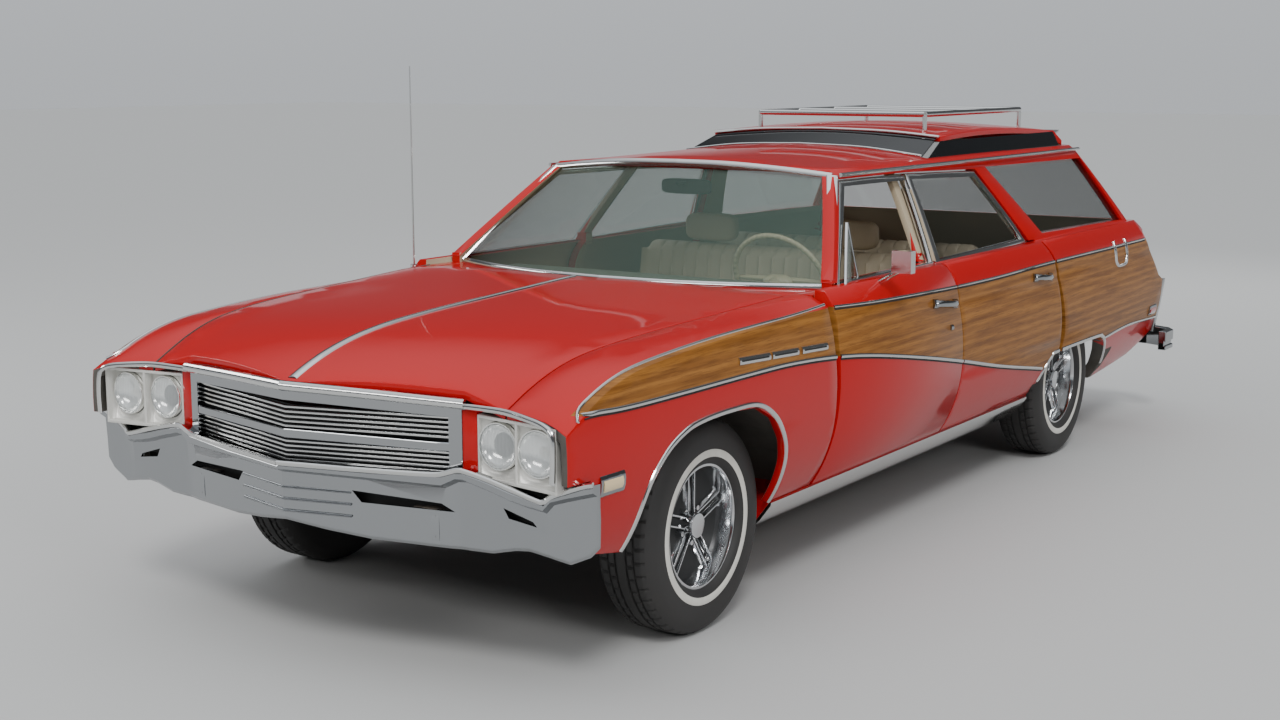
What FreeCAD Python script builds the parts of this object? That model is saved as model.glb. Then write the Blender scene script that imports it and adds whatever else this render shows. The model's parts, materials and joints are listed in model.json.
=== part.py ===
import FreeCAD, Part
import Sketcher
import math
import os

os.makedirs("parts", exist_ok=True)
doc = FreeCAD.newDocument("StationWagon")

# Driving dimensions: name, then millimetres or degrees.
# Places called back are measured rearwards from the front axle, heights from the ground.
DIMENSIONS = (
    ("wheelbase", 3073), ("front_overhang", 981), ("rear_overhang", 1384), ("track", 1499),
    ("tyre_radius", 338), ("tyre_width", 205), ("rim_radius", 194), ("disc_inset", 115),
    ("disc_thickness", 7), ("rib_count", 5), ("rib_depth", 20), ("rib_thickness", 5), ("cap_radius", 42),
    ("seam_gap", 6), ("seat_gap", 0.3), ("glass_gap", 0.4), ("glass_thickness", 5), ("glass_bulge", 6),
    ("fender_depth", 26), ("door_depth", 95), ("quarter_depth", 55), ("frame_depth", 26),
    ("pillar_depth", 46), ("roof_thickness", 26), ("hood_thickness", 24),
    ("belt_height", 1003), ("drip_height", 1337), ("sill_half_width", 842), ("drip_half_width", 640),
    ("side_foot", 250), ("door_bottom", 345), ("rocker_bottom", 252), ("rocker_top", 338),
    ("hinge_offset", 108), ("hinge_inset", 42), ("front_door_front", 650),
    ("front_door_rear_top", 1650), ("front_door_rear_low", 1700),
    ("rear_door_rear_top", 2664), ("rear_door_rear_low", 2792), ("cowl_back", 560),
    ("gate_half_width", 760), ("bumper_depth", 40), ("grille_point", -948), ("grille_sweep", 145),
    ("grille_half_width", 541), ("grille_side_bar", 40), ("grille_depth", 40), ("grille_bar", 6.5),
    ("lamp_radius", 68), ("lamp_height", 716), ("kingpin_half_width", 640),
    ("drum_radius", 135), ("drum_width", 71.7),
    ("engine_width", 560), ("engine_length", 740), ("engine_height", 450), ("engine_bottom", 410),
    ("engine_rear", 140),
    ("gearbox_width", 260), ("gearbox_length", 620), ("gearbox_height", 250), ("gearbox_bottom", 250),
    ("axle_tube_radius", 38), ("housing_radius", 130), ("housing_length", 180), ("shaft_radius", 38),
    ("kick_up_bottom", 490),
    ("tank_width", 760), ("tank_length", 500), ("tank_height", 190), ("tank_bottom", 400),
    ("seat_width", 1280), ("rear_seat_width", 1260), ("seat_base", 412), ("headrest_width", 250),
    ("steering_wheel_radius", 190), ("steering_rim_radius", 10),
    ("column_slope", 25), ("rack_bar_radius", 12),
    ("rack_half_width", 403), ("rack_rise", 199),
)
sheet = doc.addObject("Spreadsheet::Sheet", "Sizes")
for row, (alias, value) in enumerate(DIMENSIONS, 1):
    sheet.set("A%d" % row, alias)
    sheet.set("B%d" % row, str(value))
    sheet.setAlias("B%d" % row, alias)
# Places worked out from the sizes: name, formula
PLACES = (
    ("front_axle_y", "front_overhang - (front_overhang + wheelbase + rear_overhang) / 2"),
    ("inner_face", "track / 2 - tyre_width / 2"),
    ("hub_face", "inner_face + disc_inset - seat_gap"),
    ("gearbox_rear", "engine_rear + gearbox_length"),
)
for row, (alias, formula) in enumerate(PLACES, len(DIMENSIONS) + 1):
    sheet.set("A%d" % row, alias)
    sheet.set("B%d" % row, "=" + formula)
    sheet.setAlias("B%d" % row, alias)
doc.recompute()


class Sizes:
    def __getattr__(self, alias):
        return float(sheet.get(alias))


s = Sizes()
front_axle_y = s.front_axle_y
belt = s.belt_height
drip = s.drip_height
sill = s.sill_half_width
hinge_line = sill + s.hinge_offset
SIDES = (("left", 1), ("right", -1))


def point(across, back, height):
    return FreeCAD.Vector(across, back + front_axle_y, height)


def interpolate(rows, key):
    # straight interpolation in rows of (key, value)
    if key <= rows[0][0]:
        return rows[0][1]
    for (k0, v0), (k1, v1) in zip(rows, rows[1:]):
        if key <= k1:
            return v0 + (v1 - v0) * (key - k0) / (k1 - k0)
    return rows[-1][1]


def wire_of(points, arcs=()):
    # closed outline: straight from point to point, or an arc where the index is in arcs,
    # which then runs over the next two points
    edges = []
    count = len(points)
    i = 0
    while i < count:
        if i in arcs:
            a, b, c = points[i], points[(i + 1) % count], points[(i + 2) % count]
            edges.append(Part.Arc(a, b, c).toShape())
            i += 2
        else:
            a, b = points[i], points[(i + 1) % count]
            edges.append(Part.LineSegment(a, b).toShape())
            i += 1
    return Part.Wire(edges)


def block_of(corners, along):
    # closed block swept from a flat outline, turned the right way out
    block = Part.Face(wire_of(corners)).extrude(along)
    if block.Volume < 0:
        block.reverse()
    return block


def prism(outline, near=-1200, far=1200):
    # block whose side view is the outline of (back, height) points
    return block_of([point(near, b, z) for b, z in outline], FreeCAD.Vector(far - near, 0, 0))


def plan_prism(outline, low=0, high=1800):
    # block whose plan is the outline of (across, back) points
    return block_of([point(x, b, low) for x, b in outline], FreeCAD.Vector(0, 0, high - low))


def front_prism(outline, near, far):
    # block whose front view is the outline of (across, height) points
    return block_of([point(x, near, z) for x, z in outline], FreeCAD.Vector(0, far - near, 0))


def box(low, high):
    # block between two corners of (across, back, height)
    size = [b - a for a, b in zip(low, high)]
    return Part.makeBox(size[0], size[1], size[2], point(*low))


def rod(radius, start, end):
    a, b = point(*start), point(*end)
    return Part.makeCylinder(radius, a.distanceToPoint(b), a, b - a)


def mirrored(shape):
    return shape.mirror(FreeCAD.Vector(0, 0, 0), FreeCAD.Vector(1, 0, 0))


def sided(shape, sign):
    return shape if sign > 0 else mirrored(shape)


def fused(shapes):
    return shapes[0].multiFuse(shapes[1:]).removeSplitter() if len(shapes) > 1 else shapes[0]


nodes = {}


def keep(name, shape):
    feature = doc.addObject("Part::Feature", name)
    feature.Label = name
    feature.Shape = shape
    nodes[name] = feature
    return shape


# Side of the body: share of the rise from its foot to the belt, how far it stands out from the sill
SIDE_PROFILE = ((0, -62), (0.046, -37), (0.133, 20), (0.2, 51), (0.266, 73), (0.332, 90), (0.398, 103),
                (0.465, 111), (0.531, 115), (0.598, 116), (0.664, 114), (0.73, 108), (0.797, 100),
                (0.863, 90), (0.93, 76), (0.976, 61), (1, 38))
# How much the sides draw in towards the ends of the car: back, share of the half width
PLAN = ((-990, 0.972), (-700, 0.992), (-300, 1.0), (2600, 1.0), (3600, 0.992), (4300, 0.97))


def side_x(height, back):
    share = (height - s.side_foot) / (belt - s.side_foot)
    return (sill + interpolate(SIDE_PROFILE, share)) * interpolate(PLAN, back)


def side_section(back, depth, bottom, top):
    # outer face as three arcs from the rocker up to the belt, inner face the same, set in
    heights = [bottom + (top - bottom) * share for share in (0, 0.17, 0.42, 0.63, 0.8, 0.93, 1)]
    outer = [point(side_x(z, back), back, z) for z in heights]
    inner = [point(side_x(z, back) - depth, back, z) for z in reversed(heights)]
    return wire_of(outer + inner, arcs=(0, 2, 4, 7, 9, 11))


def side_slab(stations, depth, bottom=s.side_foot, top=belt):
    return Part.makeLoft([side_section(b, depth, bottom, top) for b in stations], True, len(stations) < 3)


def upper_section(back, depth, set_in=0):
    # side of the greenhouse from the sill to the drip rail, leaning in
    low, high = belt - 45, drip + 8
    lean = (sill - s.drip_half_width) / (drip - belt)

    def across(z):
        return sill - lean * (z - belt) - set_in
    middle = (low + high) / 2
    outer = [point(across(low), back, low), point(across(middle) + s.glass_bulge, back, middle),
             point(across(high), back, high)]
    inner = [point(p.x - depth, back, p.z) for p in reversed(outer)]
    return wire_of(outer + inner, arcs=(0, 3))


def upper_slab(start, end, depth, set_in=0):
    return Part.Face(upper_section(start, depth, set_in)).extrude(FreeCAD.Vector(0, end - start, 0))


# Wheel openings, as (back, height) from the front bottom round to the rear bottom
FRONT_ARCH = ((-520, 150), (-520, 386), (-478, 560), (-400, 650), (-300, 698), (-200, 714), (-40, 718),
              (110, 708), (220, 655), (290, 575), (325, 500), (345, 400), (362, 300), (362, 150))
REAR_ARCH = ((2640, 150), (2640, 400), (2665, 460), (2700, 498), (2760, 516), (3260, 516),
             (3340, 505), (3400, 478), (3450, 432), (3530, 350), (3600, 150))
front_arch = prism(FRONT_ARCH)
rear_arch = prism(REAR_ARCH)

# Top of the front end: back, centre height, crease across and height, hood seam across and
# height, crown across and height, shoulder height
DECK = ((-990, 812, 528, 775, 690, 745, 850, 742, 728),
        (-800, 900, 555, 850, 700, 822, 852, 828, 812),
        (-600, 950, 590, 915, 716, 908, 855, 906, 890),
        (-400, 972, 617, 948, 735, 945, 857, 936, 918),
        (-100, 988, 650, 968, 755, 965, 858, 954, 935),
        (250, 1003, 690, 985, 778, 980, 858, 962, 943),
        (640, 1014, 735, 1000, 792, 993, 858, 985, 955))


def hood_section(row):
    back, centre, crease_x, crease_z, seam_x, seam_z = row[:6]
    x = seam_x - s.seam_gap / 2
    t = s.hood_thickness
    top = [(-x, seam_z), (-crease_x, crease_z), (0, centre), (crease_x, crease_z), (x, seam_z)]
    under = [(a, z - t) for a, z in reversed(top)]
    return wire_of([point(a, back, z) for a, z in top + under], arcs=(1, 6))


def fender_section(row):
    back, seam_x, seam_z, crown_x, crown_z, shoulder = row[0], row[4], row[5], row[6], row[7], row[8]
    x = seam_x + s.seam_gap / 2
    t = s.fender_depth
    bottom = 285
    heights = [bottom + (shoulder - bottom) * share for share in (0, 0.25, 0.5, 0.75, 1)]
    outer = [(side_x(z, back), z) for z in heights] + [(crown_x, crown_z), (x, seam_z)]
    inner = [(x, seam_z - t), (crown_x - t / 2, crown_z - t)]
    inner += [(side_x(z, back) - t, z - (t if z == shoulder else 0)) for z in reversed(heights)]
    return wire_of([point(a, back, z) for a, z in outer + inner], arcs=(0, 2, 9, 11))


# Front edge of the nose in plan: across, back
NOSE_PLAN = ((0, -925), (540, -790), (640, -800), (760, -815), (905, -845), (960, -862))
nose_cut = [(x, b) for x, b in NOSE_PLAN] + [(1100, -870), (1100, 700), (-1100, 700), (-1100, -870)]
nose_cut += [(-x, b) for x, b in reversed(NOSE_PLAN[1:])]
nose_block = plan_prism(nose_cut)

deck_loft = Part.makeLoft([hood_section(row) for row in DECK], True, False)
hood_plan = [(-1000, -1100), (1000, -1100), (1000, s.cowl_back + 10), (800, s.cowl_back + 10),
             (0, s.cowl_back - 60), (-800, s.cowl_back + 10), (-1000, s.cowl_back + 10)]
hood = deck_loft.common(nose_block).common(plan_prism(hood_plan))
keep("hood", hood)

fender_loft = Part.makeLoft([fender_section(row) for row in DECK], True, False)
door_front = s.front_door_front
fender_end = [(-1100, 200), (door_front, 200), (door_front + 8, belt - 303), (door_front + 25, belt + 97),
              (-1100, belt + 97)]
fender = fender_loft.common(nose_block).common(prism(fender_end)).cut(front_arch)
fender = fender.cut(box((600, -1200, 0), (1200, -758, 648)))
fender = fender.cut(box((600, 0, 0), (1200, 800, s.door_bottom)))
fender = fender.cut(prism([(-1000, 200), (-1000, 440), (-760, 436), (-519, 386), (-519, 200)]))
fender = fender.cut(box((580, -1000, 600), (893, -772, 797)))
fender = max(fender.Solids, key=lambda solid: solid.Volume)
for side, sign in SIDES:
    keep("fender_" + side, sided(fender, sign))


# Door outlines as (back, height)
def front_door_outline(gap):
    f = s.front_door_front + s.seam_gap - gap
    r0, r1 = s.front_door_rear_top + gap, s.front_door_rear_low + gap
    return [(f, s.door_bottom - gap), (f + 8, belt - 303), (f + 25, belt + 97), (r0, belt + 97), (r0, belt),
            (r1, s.door_bottom - gap)]


def rear_door_outline(gap):
    f0 = s.front_door_rear_top + s.seam_gap - gap
    f1 = s.front_door_rear_low + s.seam_gap - gap
    r0, r1 = s.rear_door_rear_top + gap, s.rear_door_rear_low + gap
    return [(f0, belt), (f1, s.door_bottom - gap), (r1 - 10, s.door_bottom - gap), (r1, 500),
            (r1, belt - 403), (r0 + 40, belt - 103), (r0, belt), (r0, belt + 97), (f0, belt + 97)]


# Upper frame outlines, from the sill up: front foot, front top, rear top, rear foot
def upper_outline(corners, grow):
    (fb, fz), (tb, tz), (rb, rz), (eb, ez) = corners
    return [(fb - grow + 14, fz - 60), (fb - grow, fz), (tb - grow, tz + grow), (rb + grow, rz + grow),
            (eb + grow, ez), (eb + grow - 24, ez - 60)]


FRONT_UPPER = ((852, belt), (1236, drip - 9), (1789, drip - 11), (1643, belt))
REAR_UPPER = ((1668, belt), (1798, drip - 11), (2440, drip - 29), (2610, belt))
FRONT_WINDOW = ((874, belt + 5), (1255, drip - 29), (1762, drip - 33), (1630, belt + 5))
REAR_WINDOW = ((1710, belt + 5), (1826, drip - 33), (2410, drip - 53), (2555, belt + 17))
QUARTER_WINDOW = ((2790, belt + 23), (2560, drip - 19), (3700, drip - 31), (3820, belt + 7))


def window_outline(corners, shrink=0):
    (a, az), (b, bz), (c, cz), (d, dz) = corners
    return [(a + shrink, az + shrink), (b + shrink, bz - shrink), (c - shrink, cz - shrink),
            (d - shrink, dz + shrink)]


def swing_limit(hinge_back, rear_low, rear_top, low, high, half_low, half_top):
    # a cone about the hinge axis that trims the rear edge so that it swings clear
    centre = point(hinge_line, hinge_back, low)
    r0 = math.hypot(rear_low - hinge_back, hinge_line - half_low)
    r1 = math.hypot(rear_top - hinge_back, hinge_line - half_top)
    return Part.makeCone(r0, r1, high - low, centre, FreeCAD.Vector(0, 0, 1))


WHEELHOUSE = ((2600, 100), (2600, 740), (3560, 740), (3560, 100))
front_hinge = s.front_door_front + s.seam_gap + s.hinge_inset
rear_hinge = s.front_door_rear_low + s.seam_gap + s.hinge_inset
DOORS = (
    ("front_door", front_door_outline, FRONT_UPPER, FRONT_WINDOW, front_hinge,
     s.front_door_rear_low, s.front_door_rear_top),
    ("rear_door", rear_door_outline, REAR_UPPER, REAR_WINDOW, rear_hinge,
     s.rear_door_rear_low + 20, s.rear_door_rear_top),
)
whole_doors = {}
for name, outline, upper, window, hinge_back, rear_low, rear_top in DOORS:
    start, end = outline(0)[0][0] - 200, rear_low + 300
    panel = side_slab((start, end), s.door_depth).common(prism(outline(0)))
    panel = panel.cut(rear_arch).cut(prism(WHEELHOUSE, 500, 884))
    panel = panel.common(swing_limit(hinge_back, rear_low, rear_top, s.door_bottom - 50, belt + 50,
                                     hinge_line, hinge_line))
    if name == "front_door":
        panel = panel.cut(box((700, 600, belt - 77), (sill + 4, 880, belt + 97)))
    ring = upper_slab(start, end, s.frame_depth, 4).common(prism(upper_outline(upper, 0)))
    ring = ring.cut(prism(window_outline(window)))
    ring = ring.common(swing_limit(hinge_back, upper[3][0], upper[2][0], belt - 60, drip + 20,
                                   sill, s.drip_half_width))
    whole_doors[name] = fused([panel, ring])
    pane_slab = upper_slab(start, end, s.glass_thickness, 14)
    pane = pane_slab.common(prism(window_outline(window, s.glass_gap)))
    pane = pane.cut(whole_doors[name])
    ring = ring.cut(panel)
    for side, sign in SIDES:
        keep(name + "_" + side, sided(panel, sign))
        keep(name + "_frame_" + side, sided(ring, sign))
        if (name, side) == ("front_door", "left"):
            continue
        keep(name + "_glass_" + side, sided(pane, sign))

# Vent pane of the driver's door, swung open on its upright
VENT_CORNERS = ((sill + 16, 880, belt - 3), (sill - 36, 1070, belt - 3), (sill - 102, 1110, belt + 187))
vent = block_of([point(*corner) for corner in VENT_CORNERS], FreeCAD.Vector(s.glass_thickness, 1, 0))
keep("vent_window", vent.cut(whole_doors["front_door"]))
mirror_stem = rod(9, (sill + 38, 1078, belt - 18), (sill + 133, 1068, belt + 37))
mirror_head = box((sill + 106, 1050, belt + 27), (sill + 180, 1086, belt + 105))
mirror = fused([mirror_stem, mirror_head]).cut(whole_doors["front_door"])
keep("door_mirror", max(mirror.Solids, key=lambda solid: solid.Volume))

# Quarter panel, rocker, pillars and roof rail of each side as one pressing
quarter_front = s.rear_door_rear_top + s.seam_gap
quarter_low = s.rear_door_rear_low + s.seam_gap
quarter_outline = [(quarter_front, belt + 97), (quarter_front, belt), (quarter_front + 40, belt - 103),
                   (quarter_low, belt - 403), (quarter_low, 300), (3600, 270), (3990, 330), (4190, 420),
                   (4205, belt - 313), (4130, belt - 283), (4023, belt - 175), (3960, belt - 97),
                   (3906, belt), (3906, belt + 97)]
quarter = side_slab((2500, 3100, 3700, 4300), s.quarter_depth).common(prism(quarter_outline)).cut(rear_arch)
rocker = front_prism([(700, s.rocker_bottom), (sill - 60, s.rocker_bottom), (sill + 4, s.rocker_top),
                      (700, s.rocker_top)],
                     388, 2634)
hinge_pillar = fused([box((700, 488, 300), (sill - 62, 640, belt - 67)),
                      box((sill - 73, 600, belt - 123), (sill - 42, 846, belt - 19)),
                      box((sill - 52, 684, belt - 67), (sill - 6, 846, belt - 19)),
                      box((sill - 44, 820, belt - 33), (sill - 6, 846, belt + 17))]).cut(fender)
pillar_outline = [(818, belt + 6), (1206, drip + 8), (3700, drip + 8), (3890, belt - 18), (2676, belt - 18),
                  (2676, belt + 6)]
upper_body = upper_slab(600, 4000, s.pillar_depth).common(prism(pillar_outline))
for upper in (FRONT_UPPER, REAR_UPPER):
    upper_body = upper_body.cut(prism(upper_outline(upper, s.seam_gap)))
upper_body = upper_body.cut(prism(window_outline(QUARTER_WINDOW)))
centre_post = side_slab((1500, 1900), 36, s.rocker_top - 30).translated(
    FreeCAD.Vector(-s.door_depth - 8, 0, 0)).common(prism([(1590, 300), (1590, belt), (1648, belt),
                                                           (1648, 300)]))
upper_post = upper_slab(1500, 2000, 22, 38).common(
    prism([(1600, belt + 6), (1728, drip + 8), (1778, drip + 8), (1655, belt + 6)]))
post_link = fused([box((sill - 97, 1600, belt - 13), (sill - 67, 1645, belt + 37)),
                   box((sill - 97, 1600, belt + 7), (sill - 51, 1645, belt + 37))])
# Rear corner beside the gate: same slope as the gate, from the gate's edge to the quarter panel
GATE = ((4198, 430), (4198, belt - 313), (4124, belt - 203), (4000, belt - 103), (3925, belt + 3),
        (3895, belt + 3), (3960, belt - 123), (4040, belt - 213), (4108, belt - 313), (4108, 430))
corner = prism(GATE, s.gate_half_width + 8, sill + 58).cut(box((sill + 54, 3800, 0), (1200, 4300, 1100)))
corner = corner.common(side_slab((3700, 4300), 300))


# Weather strips that the closed doors rest against, and the jamb that carries the rear one
def inner_strip(start, end, near, far, low, high):
    strip = side_slab((start - 200, end + 200), far - near).translated(FreeCAD.Vector(-near, 0, 0))
    return strip.common(prism([(start, low), (end, low), (end, high), (start, high)]))


seals = [inner_strip(1596, 1642, s.door_depth + s.seat_gap, s.door_depth + 20, 520, 640),
         inner_strip(2600, 2640, s.door_depth + s.seat_gap, s.door_depth + 20, belt - 103, belt - 23),
         inner_strip(2600, 2760, s.door_depth + 8, s.door_depth + 40, belt - 113, belt - 13),
         inner_strip(2724, 2760, 40, s.door_depth + 40, belt - 113, belt - 13)]
gate_pin = rod(8, (744, 4150, 478), (775, 4150, 478))
side_body = fused([quarter, rocker, hinge_pillar, centre_post, upper_post, post_link, upper_body, corner,
                   gate_pin] + seals)
for inward in (0, -s.seat_gap):
    side_body = side_body.cut(whole_doors["rear_door"].translated(FreeCAD.Vector(inward, 0, 0)))
side_body = max(side_body.Solids, key=lambda solid: solid.Volume)
for side, sign in SIDES:
    keep("body_side_" + side, sided(side_body, sign))
quarter_pane = upper_slab(2400, 4000, s.glass_thickness, 14).common(
    prism(window_outline(QUARTER_WINDOW, s.glass_gap)))
keep("quarter_glass", Part.makeCompound([quarter_pane, mirrored(quarter_pane)]))

# Roof skin: back, how far it stands out from the drip rail, rise of its middle above it
ROOF = ((1100, -4, 43), (1700, 0, 71), (2300, 4, 83), (3000, 0, 79), (3720, -12, 55))
roof_seat = drip + 9


def roof_section(back, beyond, rise):
    half, centre = s.drip_half_width + beyond, drip + rise
    top = [(-half, roof_seat), (-half + 28, roof_seat + 20), (0, centre), (half - 28, roof_seat + 20),
           (half, roof_seat)]
    under = [(half - 44, roof_seat), (half - 52, roof_seat + 4), (0, centre - s.roof_thickness),
             (-half + 52, roof_seat + 4), (-half + 44, roof_seat)]
    return wire_of([point(x, back, z) for x, z in top + under], arcs=(1, 6))


raised_half = s.drip_half_width - 92
# Raised roof over the rear seats: back, height of its edge and of its middle above the drip rail
RAISED = ((2330, 113, 137), (2600, 125, 153), (3200, 121, 149), (3640, 99, 125))


def crowned_section(back, edge, centre, thickness):
    top = [point(-raised_half, back, drip + edge), point(0, back, drip + centre),
           point(raised_half, back, drip + edge)]
    under = [point(p.x, back, p.z - thickness) for p in reversed(top)]
    return wire_of(top + under, arcs=(0, 3))


roof = Part.makeLoft([roof_section(*row) for row in ROOF], True, False)
well_half = s.drip_half_width - 55
ROOF_WELL = ((-well_half, 2120), (well_half, 2120), (well_half, 3660), (-well_half, 3660))
front_line = [point(x, b, drip - 37) for x, b in ((-700, 1246), (0, 1169.5), (700, 1246), (700, 3720),
                                                  (-700, 3720))]
roof_plan = Part.Face(wire_of(front_line, arcs=(0,))).extrude(FreeCAD.Vector(0, 0, 300))
roof = roof.cut(plan_prism(ROOF_WELL)).common(roof_plan)
raised = Part.makeLoft([crowned_section(*row, 22) for row in RAISED], True, False)


def skirt_section(back, half, top, middle, bottom):
    # end of the raised roof, crowned on top and flat below
    corners = [point(-half, back, drip + top), point(0, back, drip + middle), point(half, back, drip + top),
               point(half, back, drip + bottom), point(-half, back, drip + bottom)]
    return wire_of(corners, arcs=(0,))


tail_skirt = Part.makeLoft([skirt_section(3640, raised_half, 99, 125, 53),
                            skirt_section(3660, well_half - 1, 53, 73, 29)], True, True)
roof = fused([roof, raised, tail_skirt])
keep("roof", roof)


def pane_between(low_arc, high_arc, along):
    low, high = (Part.Arc(*[point(*c) for c in arc]).toShape() for arc in (low_arc, high_arc))
    pane = Part.makeRuledSurface(low, high).extrude(along)
    if pane.Volume < 0:
        pane.reverse()
    return pane


sky_foot, sky_top = well_half - 25, raised_half - 18
sky_front = pane_between(((-sky_foot, 2120.3, drip + 37), (0, 2120.3, drip + 75),
                          (sky_foot, 2120.3, drip + 37)),
                         ((-sky_top, 2329.7, drip + 107), (0, 2329.7, drip + 133),
                          (sky_top, 2329.7, drip + 107)),
                         FreeCAD.Vector(0, 0, -6))
foot, head = well_half - s.seat_gap, raised_half + s.seat_gap
sky_side = block_of([point(foot, 2122, drip + 25), point(foot, 3630, drip + 25),
                     point(head, 3630, drip + 95),
                     point(head, 2332, drip + 95)], FreeCAD.Vector(-4, 0, -5))
sky_side = sky_side.cut(roof)
keep("skylights", Part.makeCompound([sky_front, sky_side, mirrored(sky_side)]))

# Windshield and tailgate glass, each between two arcs
cowl_top = belt - 19
glass_foot, glass_head = sill - 27, s.drip_half_width - 15
screen_foot = cowl_top + s.seat_gap
windshield = pane_between(((-glass_foot, 850, screen_foot), (0, 640, screen_foot),
                           (glass_foot, 850, screen_foot)),
                          ((-glass_head, 1228, drip + 5), (0, 1160, drip + 39),
                           (glass_head, 1228, drip + 5)),
                          FreeCAD.Vector(0, 9, 0))
pillar_room = upper_slab(600, 4000, s.pillar_depth + 0.3)
for beside in (pillar_room, hinge_pillar):
    windshield = windshield.cut(beside).cut(mirrored(beside))
windshield = windshield.cut(roof)
keep("windshield", windshield)
gate_head = s.drip_half_width - 20
gate_glass = pane_between(((-glass_foot, 3846, belt + 9), (0, 3880, belt + 9), (glass_foot, 3846, belt + 9)),
                          ((-gate_head, 3676, drip + 6), (0, 3710, drip + 37), (gate_head, 3676, drip + 6)),
                          FreeCAD.Vector(0, 7, 0))
gate_glass = gate_glass.cut(pillar_room).cut(mirrored(pillar_room)).cut(roof)
keep("tailgate_glass", gate_glass)

# Cowl between the hood and the windshield, floor, firewall and load floor
cowl_foot = belt - 67
cowl = plan_prism([(-768, s.cowl_back + 22), (0, s.cowl_back - 46), (768, s.cowl_back + 22), (768, 852),
                   (0, 634),
                   (-768, 852)], cowl_foot, cowl_top)
keep("cowl", cowl)
FLOOR = ((470, 290), (2600, 290), (2640, 590), (4100, 590), (4100, 602), (2632, 602), (2592, 302),
         (482, 302),
         (482, cowl_foot), (470, cowl_foot))
floor = prism(FLOOR, -700, 700)
wide_tunnel = front_prism([(-190, 280), (-150, 530), (150, 530), (190, 280)], 460, 1000)
wide_shell = front_prism([(-198, 290), (-158, 538), (158, 538), (198, 290)], 470, 1000)
long_tunnel = front_prism([(-110, 280), (-90, 402), (90, 402), (110, 280)], 900, 2700)
long_shell = front_prism([(-118, 290), (-98, 410), (98, 410), (118, 290)], 990, 2600)
housing_x = []
for sign in (1, -1):
    x0, x1 = sorted((sign * 560, sign * 872))
    room = Part.makeCylinder(400, x1 - x0, point(x0, s.wheelbase, s.tyre_radius), FreeCAD.Vector(1, 0, 0))
    shell = Part.makeCylinder(406, x1 - x0, point(x0, s.wheelbase, s.tyre_radius), FreeCAD.Vector(1, 0, 0))
    shell = shell.cut(room).common(box((x0, 2600, 520), (x1, 3600, 900)))
    plate = Part.makeCylinder(406, 6, point(sign * 560 - 3, s.wheelbase, s.tyre_radius),
                              FreeCAD.Vector(1, 0, 0))
    housing_x.append((room, shell, plate.common(box((-900, 2600, 590), (900, 3600, 900)))))
for room, shell, plate in housing_x:
    floor = floor.cut(room)
floor = fused([floor, wide_shell, long_shell] + [h[1] for h in housing_x] + [h[2] for h in housing_x])
floor = floor.cut(wide_tunnel).cut(long_tunnel)
keep("floor", floor)

gate = prism(GATE, -s.gate_half_width, s.gate_half_width)
for sign in (1, -1):
    gate = gate.cut(rod(8.05, (sign * 743.7, 4150, 478), (sign * 775, 4150, 478)))
keep("tailgate", gate)
lamp = box((790, 4198, 480), (860, 4262, 680))
keep("tail_lamps", Part.makeCompound([lamp, mirrored(lamp)]))

# Nose: the radiator support carries the grille, its filler panels and the lamp bezels
SUPPORT_FRONT = ((-893, -772), (-640, -772), (-545, -772), (0, -907), (545, -772), (640, -772), (893, -772))
support_plan = list(SUPPORT_FRONT) + [(x, b + 30) for x, b in reversed(SUPPORT_FRONT)]
support = plan_prism(support_plan, 520.3, 780)
stops = []
for x in (-450, 450):
    post = rod(12, (x, -765, 781), (x, -765, 900)).fuse(box((x - 14, -790, 770), (x + 14, -742, 781)))
    stops.append(post.cut(hood.translated(FreeCAD.Vector(0, 0, -s.seat_gap))))
stops = [min(stop.Solids, key=lambda solid: solid.BoundBox.ZMin) for stop in stops]
support = fused([support] + stops)


def vee(front, depth, low=560, high=860, half=541):
    # upright V-shaped slab following the grille's plan, its face set back by front
    slope = s.grille_sweep / s.grille_half_width
    near, far = s.grille_point + front, s.grille_point + front + depth
    return plan_prism([(-half, near + slope * half), (0, near), (half, near + slope * half),
                       (half, far + slope * half), (0, far), (-half, far + slope * half)], low, high)


half = s.grille_half_width
opening_half = half - s.grille_side_bar
frame_outline = [(-half, 588), (half, 588), (half, 812), (0, 833), (-half, 812)]
opening_outline = [(-opening_half, 602), (opening_half, 602), (opening_half, 782), (0, 800),
                   (-opening_half, 782)]
grille_frame = vee(0, s.grille_depth, half=half).common(front_prism(frame_outline, -1100, -700))
grille_frame = grille_frame.cut(front_prism(opening_outline, -1100, -700))
centre_bar = vee(2, 24, half=opening_half).common(front_prism(
    [(-opening_half, 684), (0, 690), (opening_half, 684), (opening_half, 708), (0, 716),
     (-opening_half, 708)],
    -1100, -700))
keep("grille", fused([grille_frame, centre_bar]).cut(hood).cut(fender).cut(mirrored(fender)))
bars = []
for group_low, group_high, count in ((604, 686, 6), (716, 786, 5)):
    pitch = (group_high - group_low) / count
    for i in range(count):
        z = group_low + pitch * (i + 0.5)
        bar = vee(9, 12, z - s.grille_bar / 2, z + s.grille_bar / 2, half=opening_half - s.seat_gap)
        bars.append(bar.cut(nodes["grille"].Shape))
keep("grille_bars", Part.makeCompound(bars))
keep("radiator_support", support.cut(nodes["grille"].Shape))

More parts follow.
